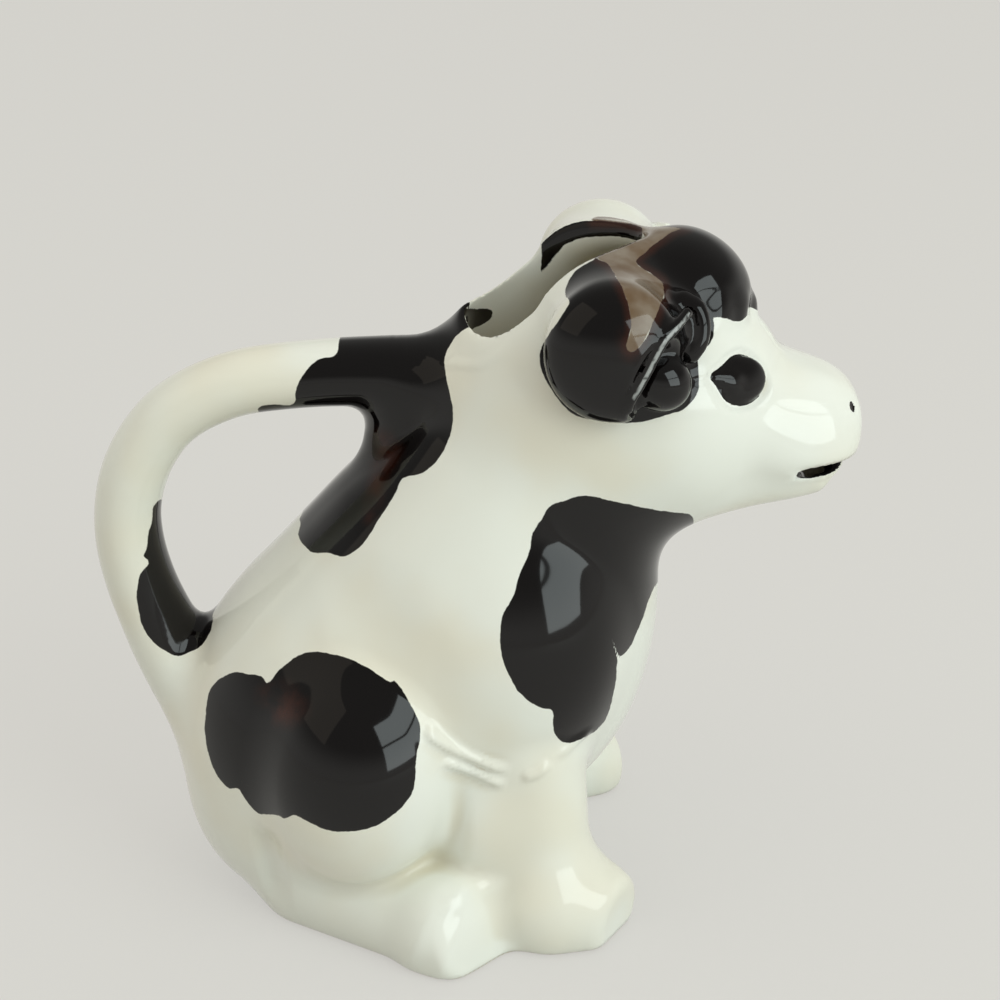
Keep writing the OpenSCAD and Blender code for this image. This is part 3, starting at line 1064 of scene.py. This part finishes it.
@dataclass(frozen=True)
class Studio:
    """A plain pale floor, a pale surround and soft lamps.

    The surround is shown from one shade to another between two heights of the view, and lights the
    jug from fill at the horizon to ceiling overhead.
    """

    stand: Stand = field(default_factory=Stand)
    floor_half: float = 4.0
    floor_shade: str = "#C8C7C2"
    floor_shown: str = "#E6E5E1"
    surround: str = "#D4D3CE"
    overhead: str = "#8A8A87"
    shade_heights: Span = (0.05, 0.45)
    daylight: str = "#F6F3EA"
    fill: float = 0.24
    ceiling: float = 1.08
    lamps: tuple[Softbox, ...] = (
        Softbox("window_upper", 49, 25, 0.85, 0.56, 0.33, 2.95, "#F0FCFC", (0.0, 0.18)),
        Softbox("window_lower", 49, 25, 0.85, 0.56, 0.33, 2.95, "#F0FCFC", (0.0, -0.18)),
        Softbox("soft_left", -70, 42, 1.2, 0.9, 0.9, 0.30, "#FFF1DC"),
    )

    def build(self) -> None:
        """Sets up the floor, the surround, the lamps and the camera."""
        self.stand.build()
        for lamp in self.lamps:
            lamp.build()
        h = self.floor_half
        mesh = bpy.data.meshes.new("floor")
        mesh.from_pydata([(-h, -h, 0), (h, -h, 0), (h, h, 0), (-h, h, 0)], [], [(0, 1, 2, 3)])
        floor = bpy.data.objects.new("floor", mesh)
        bpy.context.scene.collection.objects.link(floor)
        floor.data.materials.append(PaperFloor(self.floor_shade, self.floor_shown).material())
        floor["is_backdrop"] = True
        self._surround()
        view = bpy.context.scene.view_settings
        view.view_transform = "Standard"

    def _surround(self) -> None:
        """The pale surround: seen as written, and dimmer as light on the cow."""
        world = bpy.data.worlds.new("surround")
        bpy.context.scene.world = world
        world.use_nodes = True
        tree = world.node_tree
        tree.nodes.clear()
        seen = add(tree, "LightPath", {}, "Is Camera Ray")
        path = seen.node.outputs
        for ray in ("Is Glossy Ray", "Is Transmission Ray"):
            seen = add(tree, "Math", {0: seen, 1: path[ray]}, operation="MAXIMUM")
        where = add(tree, "TexCoord", {}, "Generated")
        height = add(tree, "SeparateXYZ", {0: where}, "Z")
        # it is shown paler near the horizon, so that the glaze keeps its contrast
        low, high = self.shade_heights
        haze = add(tree, "MapRange", {"Value": height, "From Min": low, "From Max": high},
                   interpolation_type="SMOOTHSTEP")
        tone = add(tree, "Mix", {0: haze, 6: self.surround, 7: self.overhead}, 2, data_type="RGBA")
        # it gives more light from overhead, as a lit ceiling does
        level = add(tree, "MapRange", {"Value": height, "To Min": self.fill,
                                       "To Max": self.ceiling})
        lit = add(tree, "Background", {"Color": self.daylight, "Strength": level})
        shown = add(tree, "Background", {"Color": tone, "Strength": 1.0})
        add(tree, "OutputWorld", {0: add(tree, "MixShader", {0: seen, 1: lit, 2: shown})})


# Finishes

def linear(shade: str) -> tuple[float, float, float, float]:
    """Turns an sRGB hex colour into Blender's linear colour.

    Args:
        shade: a colour such as "#ECE8D6".

    Returns:
        Red, green, blue and alpha.
    """
    parts = [int(shade[i:i + 2], 16) / 255 for i in (1, 3, 5)]
    r, g, b = (v / 12.92 if v <= 0.04045 else ((v + 0.055) / 1.055) ** 2.4 for v in parts)
    return (r, g, b, 1.0)


def add(tree: Tree, kind: str, inputs: dict[str | int, object], out: str | int = 0,
        **settings: str) -> Optional[Socket]:
    """Adds a node with its settings and links.

    Args:
        tree: the node tree.
        kind: the node's type, without the ShaderNode in front.
        inputs: by socket name or number, a number, a hex shade or another node's output.
        out: the name or number of the output that is used.
        settings: properties of the node.

    Returns:
        That output, or nothing for a node that ends the tree.
    """
    node = tree.nodes.new(f"ShaderNode{kind}")
    for name, value in settings.items():
        setattr(node, name, value)
    for socket, value in inputs.items():
        if isinstance(value, Socket):
            tree.links.new(value, node.inputs[socket])
        else:
            shade = isinstance(value, str)
            node.inputs[socket].default_value = linear(value) if shade else value
    return node.outputs[out] if len(node.outputs) else None


def fresh(name: str) -> tuple[bpy.types.Material, Tree]:
    """Starts a material.

    Args:
        name: the material's name.

    Returns:
        The material and its empty node tree.
    """
    material = bpy.data.materials.new(name)
    material.use_nodes = True
    material.node_tree.nodes.clear()
    return material, material.node_tree


@dataclass(frozen=True)
class PaperFloor:
    """Seamless paper, rolled out flat: matt, pale and even, with a faint tooth."""

    shade: str
    shown: str
    shown_share: float = 0.6
    tooth_mm: float = 0.8
    tooth_height_mm: float = 0.05
    tooth_strength: float = 0.15
    roughness: float = 0.9
    shine: float = 0.2

    def material(self) -> bpy.types.Material:
        """Makes the paper.

        Returns:
            The material.
        """
        material, tree = fresh("seamless_paper")
        # a faint tooth, which keeps the paper from looking like plastic
        tooth = add(tree, "TexNoise", {
            "Vector": add(tree, "TexCoord", {}, "Object"), "Scale": 1 / (self.tooth_mm * MM),
            "Detail": 2.0})
        bump = add(tree, "Bump", {
            "Height": tooth, "Strength": self.tooth_strength,
            "Distance": self.tooth_height_mm * MM})
        paper = add(tree, "BsdfPrincipled", {
            "Base Color": self.shade, "Roughness": self.roughness,
            "Specular IOR Level": self.shine, "Normal": bump})
        # the camera and the glaze see the paper evenly pale, with the jug's shadow kept on it
        seen = add(tree, "LightPath", {}, "Is Camera Ray")
        seen = add(tree, "Math", {0: seen, 1: seen.node.outputs["Is Glossy Ray"]},
                   operation="MAXIMUM")
        share = add(tree, "Math", {0: seen, 1: self.shown_share}, operation="MULTIPLY")
        even = add(tree, "Emission", {"Color": self.shown, "Strength": 1.0})
        both = add(tree, "MixShader", {0: share, 1: paper, 2: even})
        add(tree, "OutputMaterial", {"Surface": both})
        return material


@dataclass(frozen=True)
class GlazedEarthenware:
    """White earthenware under a clear tin-whitened glaze, with brushed manganese black.

    The glaze is poured and fired, so it is glassy, a little wavy and warmer in clouds. It is
    creamier and darker in a fold, where it pools and where crease shade is painted, and inside the
    jug it turns a darker buff the deeper it goes, which is painted shade. The black is brushed on:
    dense in the middle, rust brown where the coat is thin, a tan wash where the brush was nearly
    dry, and grey along the ear's rim, where the glaze breaks thin and a highlight is painted. Sizes
    are in mm, and each span is where a smooth step starts and where it is full.
    """

    ior: float = 1.45
    roughness: float = 0.07
    white: str = "#F1F4EC"
    warm: str = "#EEECDD"
    # a creamier, darker white for folds: glaze pooling there, and painted crease shade
    pooled_glaze_and_crease_shade: str = "#DFDBC8"
    black: str = "#080505"
    rust: str = "#3E1C0F"
    wash: str = "#68533D"
    # a darker buff for deep inside the jug: painted shade in the hollow
    inside: str = "#BFA76E"
    # grey for the ear's rim: the black glaze breaking thin, and a painted highlight along it
    thin_glaze_and_glint: str = "#A9ADAC"
    clay: str = "#DCCBA8"
    wave_mm: float = 9.0
    wave_height_mm: float = 0.10
    ripple_mm: float = 2.6
    ripple_height_mm: float = 0.012
    cloud_mm: float = 15.0
    brush_mm: float = 1.7
    brush_reach_mm: float = 0.28
    edge_mm: float = 0.07
    streak_mm: float = 3.2
    lumps: float = 0.6
    cloud_span: Span = (0.42, 0.68)
    fold_span: Span = (0.06, 0.55)
    interior_shade_span: Span = (0.8, 9.0)
    foot_span: Span = (-0.25, 0.15)
    foot_roughness: float = 0.75
    rust_span: Span = (-1.6, 1.8)
    rust_streaks: Span = (0.3, 0.7)
    rust_most: float = 0.9
    near_wash_span: Span = (-1.5, 0.0)
    near_wash_rust: float = 0.65
    wash_span: Span = (-0.35, 0.0)
    wash_streaks: Span = (0.2, 0.75)
    wash_cover: Span = (0.82, 1.0)
    # the grey rim line, glaze breaking thin and a painted highlight: where it starts and is full
    rim_break_and_glint_span: Span = (-0.12, 0.12)
    rim_break_and_glint_streaks: Span = (0.1, 0.5)
    rim_break_and_glint_cover: Span = (0.55, 0.9)

    def material(self) -> bpy.types.Material:
        """Makes the glaze.

        Returns:
            The material, which reads the values that the mesh holds at each point.
        """
        material, tree = fresh("glazed_earthenware")
        where = add(tree, "TexCoord", {}, "Object")
        noise = {name: add(tree, "TexNoise", {
            "Vector": where, "Scale": self.lumps / (size * MM), "Detail": detail,
            "Roughness": rough}) for name, size, detail, rough in (
                ("cloud", self.cloud_mm, 2.0, 0.5), ("brush", self.brush_mm, 3.0, 0.6),
                ("streak", self.streak_mm, 3.0, 0.5), ("wave", self.wave_mm, 1.0, 0.5),
                ("ripple", self.ripple_mm, 1.0, 0.5))}
        held = {name: add(tree, "Attribute", {}, "Fac", attribute_name=f"{name}_mm")
                for name in ("black", "wash", "rust", "fold", "dry", "inside", "rim_break_and_glint")}

        # the brush leaves a ragged edge on the black and on the wash
        brush = add(tree, "Math", {0: noise["brush"], 1: 0.5}, operation="SUBTRACT")
        brush = add(tree, "Math", {0: brush, 1: self.brush_reach_mm * 2}, operation="MULTIPLY")
        for name in ("black", "wash"):
            held[name] = add(tree, "Math", {0: held[name], 1: brush}, operation="ADD")

        # smooth steps: what each follows, where it starts and is full, and what it goes between
        full = (0.0, 1.0)
        share = {name: add(tree, "MapRange", {
            "Value": value, "From Min": start, "From Max": end, "To Min": low, "To Max": high},
            interpolation_type="SMOOTHSTEP") for name, value, (start, end), (low, high) in (
                ("cloud", noise["cloud"], self.cloud_span, full),
                ("fold", held["fold"], self.fold_span, full),
                ("inside", held["inside"], self.interior_shade_span, full),
                ("foot", held["dry"], self.foot_span, full),
                ("matt", held["dry"], self.foot_span, (self.roughness, self.foot_roughness)),
                ("black", held["black"], (-self.edge_mm, self.edge_mm), full),
                ("rust", held["rust"], self.rust_span, full),
                ("rust_streak", noise["streak"], self.rust_streaks, full),
                ("near_wash", held["wash"], self.near_wash_span, (0.0, self.near_wash_rust)),
                ("wash", held["wash"], self.wash_span, full),
                ("wash_streak", noise["streak"], self.wash_streaks, self.wash_cover),
                ("rim_break_and_glint", held["rim_break_and_glint"], self.rim_break_and_glint_span, full),
                ("rim_break_and_glint_streak", noise["streak"], self.rim_break_and_glint_streaks, self.rim_break_and_glint_cover))}
        for name in ("rust", "wash", "rim_break_and_glint"):
            share[name] = add(tree, "Math", {0: share[name], 1: share[f"{name}_streak"]},
                              operation="MULTIPLY")
        thin = add(tree, "Math", {0: share["rust"], 1: share["near_wash"]}, operation="MAXIMUM")
        share["rust"] = add(tree, "Math", {0: thin, 1: self.rust_most}, operation="MULTIPLY")

        # the black, rust brown where it is thin, and grey along the ear's rim: the glaze breaking
        # thin there, with a painted highlight
        coat: str | Socket = self.black
        for name, shade in (("rust", self.rust), ("rim_break_and_glint", self.thin_glaze_and_glint)):
            coat = add(tree, "Mix", {0: share[name], 6: coat, 7: shade}, 2, data_type="RGBA")
        # the white, warm in clouds, creamier and darker in folds (glaze pooling and painted crease
        # shade), a darker buff deep inside (painted shade), bare clay underneath, and over it the
        # tan wash and the black
        body: str | Socket = self.white
        for name, shade in (("cloud", self.warm), ("fold", self.pooled_glaze_and_crease_shade), ("inside", self.inside),
                            ("foot", self.clay), ("wash", self.wash), ("black", coat)):
            body = add(tree, "Mix", {0: share[name], 6: body, 7: shade}, 2, data_type="RGBA")

        # the glassy skin, which waves and ripples a little, and is matt where the clay is bare
        wave = add(tree, "Bump", {"Height": noise["wave"], "Strength": 1.0,
                                  "Distance": self.wave_height_mm * MM})
        ripple = add(tree, "Bump", {"Height": noise["ripple"], "Strength": 1.0,
                                    "Distance": self.ripple_height_mm * MM, "Normal": wave})
        glaze = add(tree, "BsdfPrincipled", {
            "Base Color": body, "Roughness": share["matt"], "IOR": self.ior, "Normal": ripple})
        add(tree, "OutputMaterial", {"Surface": glaze})
        return material


# Brushed patches

class Side(Enum):
    """Which side of the cow a brushed patch lies on."""

    NEAR = "the cow's right, which the photograph shows"
    BOTH = "both sides, mirrored"
    FAR = "the cow's left"
    FAR_SEEN = "the cow's left, where the camera sees it over the top"


@dataclass(frozen=True)
class Patch:
    """A brushed patch: its outline in the photograph's frame, its side and the clay it lies on.

    reach is a box in mm that it stays in, as lowest and highest X and Z, and as_far_as is where it
    ends in Y on the cow's left.
    """

    outline: tuple[Span, ...]
    side: Side
    pieces: tuple[Piece, ...]
    reach: tuple[float, float, float, float] = (-99.0, 99.0, -99.0, 999.0)
    as_far_as: float = 99.0
    inside_too: bool = False
    over_rim: float = 0.4
    shift: Point = (0.0, 0.0, 0.0)
    steps: int = 5
    over_middle: float = 0.5
    margin_px: float = 60.0
    beyond_mm: float = 9.0

    def depth(self, points: Array, stand: Stand, inner: Array, facing: Array) -> Array:
        """How far inside the outline each point is, in mm; negative outside.

        Args:
            points: points in mm.
            stand: the camera, which turns the outline's pixels into places.
            inner: how far over the rim and into the walls' inside each point is, in mm.
            facing: which points face the stand.

        Returns:
            Signed distances.
        """
        inside = np.full(len(points), -self.beyond_mm, np.float32)
        p = points - np.array(self.shift, np.float32)
        x, y, z = p.T.copy()
        use = (x > self.reach[0]) & (x < self.reach[1]) & (z > self.reach[2]) & (z < self.reach[3])
        if self.side is Side.NEAR:
            use &= y < self.over_middle
        elif self.side is not Side.BOTH:
            use &= y > -self.over_middle
        if self.side is Side.FAR_SEEN:
            use &= facing
        if self.side in (Side.BOTH, Side.FAR):
            p[:, 1] = -np.abs(y)
        column, row, scale = stand.to_frame(p)
        at = np.stack([column, row], 1)
        loop = curve(self.outline, self.steps, closed=True)
        use &= ((at > loop.min(0) - self.margin_px) & (at < loop.max(0) + self.margin_px)).all(1)
        chosen = np.flatnonzero(use)
        if not len(chosen):
            return inside
        at = at[chosen]
        away, _ = to_line(at, np.concatenate([loop, loop[:1]]))
        odd = np.zeros(len(at), bool)
        for a, b in zip(loop, np.roll(loop, -1, 0)):
            if a[1] != b[1]:
                crosses = (a[1] > at[:, 1]) != (b[1] > at[:, 1])
                edge = (b[0] - a[0]) * (at[:, 1] - a[1]) / (b[1] - a[1]) + a[0]
                odd ^= crosses & (at[:, 0] < edge)
        inside[chosen] = np.where(odd, 1, -1) * away / scale[chosen]
        inside = np.minimum(inside, self.as_far_as - y)
        return inside if self.inside_too else np.minimum(inside, self.over_rim - inner)


HEAD_CLAY = (Piece.HEAD, Piece.POLL, Piece.RIGHT_EAR)
BODY_CLAY = (Piece.TORSO, Piece.HEAD, Piece.LEFT_FORELEG, Piece.RIGHT_FORELEG)


@dataclass(frozen=True)
class Brushwork:
    """The brushed glaze patches, drawn in the photograph's frame, in pixels."""

    black: tuple[Patch, ...] = (
        # the saddle over the neck and the tail's start, round the grip's upper corner
        Patch((
            (492, 300), (470, 302), (440, 311), (400, 321), (345, 331), (339, 343), (335, 355),
            (318, 360), (303, 375), (295, 392), (293, 404), (270, 405), (258, 410), (275, 440),
            (290, 490), (300, 521), (299, 537), (312, 552), (330, 553), (344, 557), (362, 545),
            (378, 521), (394, 495), (403, 478), (422, 473), (438, 460), (449, 438), (453, 414),
            (447, 380), (445, 358), (456, 336), (472, 326), (490, 318), (494, 308),
        ), Side.BOTH, (Piece.TORSO, Piece.HEAD, Piece.TAIL), reach=(-40.0, 12.0, 30.0, 120.0)),
        # the tail's lower end, inside the grip
        Patch((
            (154, 505), (152, 520), (148, 535), (147, 548), (144, 556), (149, 563), (139, 577),
            (137, 601), (143, 628), (154, 643), (167, 652), (178, 656), (190, 652), (201, 646),
            (210, 632), (213, 619), (212, 606), (222, 590), (200, 560), (180, 530), (168, 500),
        ), Side.BOTH, (Piece.TAIL, Piece.TORSO), reach=(-70.0, -33.0, 20.0, 70.0)),
        # the large patch on the near haunch
        Patch((
            (206, 714), (209, 691), (222, 677), (234, 672), (246, 674), (261, 676), (268, 684),
            (280, 669), (300, 655), (316, 652), (345, 657), (371, 670), (389, 682), (394, 680),
            (407, 698), (419, 721), (420, 737), (416, 760), (414, 789), (401, 808), (378, 825),
            (355, 831), (326, 830), (300, 817), (292, 815), (285, 819), (276, 815), (258, 813),
            (245, 799), (238, 789), (228, 788), (217, 776), (209, 757), (205, 734),
        ), Side.NEAR, (Piece.TORSO, Piece.RIGHT_HAUNCH, Piece.RIGHT_HIND_FOOT)),
        # its fellow on the far haunch, which the photograph doesn't show
        Patch((
            (226, 700), (232, 681), (250, 670), (272, 674), (290, 662), (316, 656), (345, 662),
            (371, 672), (396, 690), (412, 718), (413, 744), (404, 766), (398, 792), (372, 812),
            (345, 812), (318, 822), (292, 806), (262, 800), (246, 782), (226, 768), (218, 740),
        ), Side.FAR, (Piece.TORSO, Piece.LEFT_HAUNCH, Piece.LEFT_HIND_FOOT),
            shift=(-3.0, 0.0, 6.0)),
        # the bib under the jaw
        Patch((
            (541, 520), (548, 508), (562, 501), (584, 496), (608, 500), (645, 508), (672, 512),
            (692, 516), (690, 540), (674, 562), (657, 583), (649, 600), (640, 625), (631, 645),
            (621, 656), (615, 650), (612, 638), (617, 655), (617, 671), (614, 693), (608, 714),
            (597, 729), (582, 739), (567, 743), (557, 737), (553, 726), (552, 710), (541, 708),
            (526, 699), (513, 684), (503, 660), (500, 636), (503, 614), (513, 597), (520, 573),
            (530, 552), (532, 534),
        ), Side.BOTH, BODY_CLAY),
        # the near ear and the cheek behind it
        Patch((
            (575, 272), (566, 287), (566, 296), (569, 303), (561, 317), (550, 333), (541, 349),
            (541, 368), (553, 392), (571, 413), (596, 420), (622, 423), (648, 421), (668, 415),
            (686, 408), (697, 393), (699, 374), (698, 358), (699, 346), (710, 336), (709, 328),
            (699, 322), (695, 306), (680, 294), (661, 281), (640, 268), (606, 252), (590, 262),
        ), Side.NEAR, HEAD_CLAY),
        # where the ear's black and the poll's black run together over the ear's root
        Patch((
            (676, 290), (690, 296), (702, 302), (711, 314), (714, 328), (711, 342), (700, 350),
            (688, 340), (680, 322), (672, 306),
        ), Side.NEAR, HEAD_CLAY),
        # the poll and the forehead
        Patch((
            (630, 262), (640, 252), (650, 240), (662, 232), (677, 227), (700, 220), (728, 226),
            (752, 246), (764, 276), (768, 300), (768, 313), (759, 311), (752, 308), (747, 307),
            (748, 314), (743, 320), (734, 321), (724, 318), (706, 316), (697, 310), (688, 303),
            (675, 291), (661, 281), (645, 270),
        ), Side.BOTH, HEAD_CLAY, as_far_as=12.0),
        # the end of the saddle's stroke, rolled over the nape into the fill opening
        Patch((
            (462, 312), (472, 309), (484, 309), (492, 311), (491, 318), (484, 323), (476, 327),
            (468, 331), (462, 330),
        ), Side.FAR_SEEN, (Piece.TORSO, Piece.HEAD), reach=(-6.0, 6.0, 88.0, 100.0),
            inside_too=True),
    )
    wash: tuple[Patch, ...] = (
        # the tan wash between ear and poll, up to the crown
        Patch((
            (646, 222), (660, 212), (694, 216), (690, 226), (674, 231), (660, 240), (648, 250),
            (636, 262), (646, 271), (661, 281), (664, 292), (661, 304), (653, 322), (643, 342),
            (632, 352), (626, 346), (631, 330), (629, 306), (619, 282), (608, 264), (598, 258),
            (612, 250), (630, 244), (642, 236),
        ), Side.BOTH, HEAD_CLAY, as_far_as=11.6),
    )
    rust: tuple[Patch, ...] = (
        # thin coats on the saddle, the haunch and the ear
        Patch((
            (376, 434), (392, 436), (399, 448), (389, 470), (379, 500), (368, 520), (371, 482),
            (374, 455),
        ), Side.BOTH, (Piece.TORSO, Piece.TAIL, Piece.HEAD)),
        Patch((
            (262, 688), (282, 682), (304, 700), (300, 722), (276, 724), (262, 708),
        ), Side.NEAR, (Piece.TORSO, Piece.RIGHT_HAUNCH)),
        Patch((
            (622, 332), (640, 332), (638, 352), (626, 356),
        ), Side.NEAR, (Piece.RIGHT_EAR, Piece.HEAD)),
    )
    pit_black_mm: float = 0.15
    eye_line_mm: float = 0.25
    crisp: float = 4.0
    coated_mm: float = 2.0
    coated_from_x: float = 23.5
    # how wide the grey line along the ear's rim is: glaze breaking thin, and a painted highlight
    rim_break_and_glint_mm: float = 0.28
    rim_stroke_mm: float = 1.5
    rim_stroke_in: float = 0.8
    rim_stroke_x: Span = (10.4, 25.4)
    rim_stroke_from_y: float = 1.0
    rim_stroke_from_z: float = 96.0
    foot_mm: float = 0.35
    beyond_mm: float = 9.0

    def values(self, piece: Piece, skin: Skin, chosen: Array, stand: Stand) -> dict[str, Array]:
        """What the glaze needs to know at each point of a piece.

        Args:
            piece: the piece.
            skin: the meshed cow.
            chosen: the numbers of the piece's points.
            stand: the camera, in whose frame the outlines are drawn.

        Returns:
            Values by attribute name.
        """
        points = skin.points[chosen]
        inner = -(skin.survey["cream"] + skin.survey["outside"])[chosen]
        to_stand = np.array((stand.x, stand.y, stand.z), np.float32) - points
        facing = (skin.normals[chosen] * to_stand).sum(1) >= 0

        def reach(patches: Sequence[Patch]) -> Array:
            """How far inside these patches each point is.

            Args:
                patches: the patches.

            Returns:
                Signed distances in mm to the nearest patch that lies on this piece.
            """
            depth = np.full(len(points), -self.beyond_mm, np.float32)
            for patch in patches:
                if piece in patch.pieces:
                    depth = np.maximum(depth, patch.depth(points, stand, inner, facing))
            return depth

        wash, rust, black = reach(self.wash), reach(self.rust), reach(self.black)
        # the grey line along the ear's rim crest: the glaze breaking thin there, and a painted
        # highlight
        rim_break_and_glint = np.full(len(points), -self.beyond_mm, np.float32)
        if piece is Piece.RIGHT_EAR:
            black = np.maximum(black, np.minimum(self.coated_mm, points[:, 0] - self.coated_from_x))
            away, _ = to_line(points * np.array((1, -1, 1), np.float32), Ear().crest())
            rim_break_and_glint = self.rim_break_and_glint_mm - away
        black = np.minimum(black, -wash)
        black = np.maximum(black, (self.eye_line_mm - skin.survey["eye"][chosen]) * self.crisp)
        if piece is Piece.HEAD:
            x, y, z = points.T
            q = np.stack([x, np.abs(y), z], 1)
            # the mouth slot and the nostrils are made black inside and just round their edges
            for pit in (Hollow().slot, Hollow().nostril):
                black = np.maximum(black, (self.pit_black_mm - pit.depth(q)) * self.crisp)
            # the brush stroke along the far rim of the fill opening
            black = np.maximum(black, np.minimum.reduce([
                self.rim_stroke_mm - np.abs(inner - self.rim_stroke_in),
                x - self.rim_stroke_x[0], self.rim_stroke_x[1] - x,
                y - self.rim_stroke_from_y, z - self.rim_stroke_from_z]))
        dry = np.where(inner > 0, -self.beyond_mm, self.foot_mm - points[:, 2])
        return {"black_mm": black, "wash_mm": wash, "rust_mm": rust, "fold_mm": skin.fold[chosen],
                "dry_mm": dry, "inside_mm": inner, "rim_break_and_glint_mm": rim_break_and_glint}


# The jug

@dataclass(frozen=True)
class CowCreamer:
    """The jug: sculpts the clay, parts it into its luted pieces and glazes them."""

    mesher: Mesher
    brushwork: Brushwork
    glaze: GlazedEarthenware
    stand: Stand
    black_pieces: tuple[Piece, ...] = (Piece.POLL, Piece.RIGHT_EAR, Piece.RIGHT_EYE, Piece.LEFT_EYE)

    def build(self) -> list[bpy.types.Object]:
        """Makes every piece.

        Returns:
            The pieces, in the order of their names' list.
        """
        skin = self.mesher.skin()
        LOG.info("clay meshed: %d points", len(skin.points))
        material = self.glaze.material()
        return [self._piece(piece, skin, material) for piece in PIECES[1:]]

    def _piece(self, piece: Piece, skin: Skin, material: bpy.types.Material) -> bpy.types.Object:
        """Makes one clay piece, glazed.

        Args:
            piece: which piece.
            skin: the meshed cow.
            material: the glaze.

        Returns:
            The piece, which rides on the model and stands for its CAD node.
        """
        faces = skin.faces[piece]
        chosen, renumbered = np.unique(faces, return_inverse=True)
        faces = renumbered.reshape(faces.shape)
        # a joint face with one corner inside the clay is split from that corner
        buried = ~skin.outer[chosen][faces]
        turn = np.where(buried.sum(1) == 1, buried.argmax(1), 0)
        faces = np.take_along_axis(faces, (np.arange(4) + turn[:, None]) % 4, 1)
        mesh = bpy.data.meshes.new(piece.value)
        mesh.vertices.add(len(chosen))
        mesh.vertices.foreach_set("co", (skin.points[chosen] * MM).astype(np.float32).ravel())
        mesh.loops.add(faces.size)
        mesh.loops.foreach_set("vertex_index", faces.astype(np.int32).ravel())
        mesh.polygons.add(len(faces))
        mesh.polygons.foreach_set("loop_start", np.arange(0, faces.size, 4, dtype=np.int32))
        mesh.update(calc_edges=True)
        mesh.validate()
        for name, value in self.brushwork.values(piece, skin, chosen, self.stand).items():
            held = mesh.attributes.new(name, "FLOAT", "POINT")
            held.data.foreach_set("value", value.astype(np.float32))
        mesh.polygons.foreach_set("use_smooth", np.ones(len(mesh.polygons), bool))
        mesh.normals_split_custom_set_from_vertices(skin.normals[chosen].tolist())
        mesh.materials.append(material)
        made = bpy.data.objects.new(f"clay_{piece.value}", mesh)
        bpy.context.scene.collection.objects.link(made)
        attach(made, "root")
        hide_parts(piece.value)
        dark = piece in self.black_pieces
        LOG.info("%s: %d faces", made.name, len(faces))
        return made


def keep_sizes() -> None:
    boxes = {"cad": CAD_BOX, "visual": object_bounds()}
    {name: [list(v) for v in box] for name, box in boxes.items()}


def main() -> None:
    """Builds the studio and the jug."""
    studio = Studio()
    studio.build()
    CowCreamer(Mesher(CowForm()), Brushwork(), GlazedEarthenware(), studio.stand).build()
    keep_sizes()


if __name__ == "__main__":
    main()
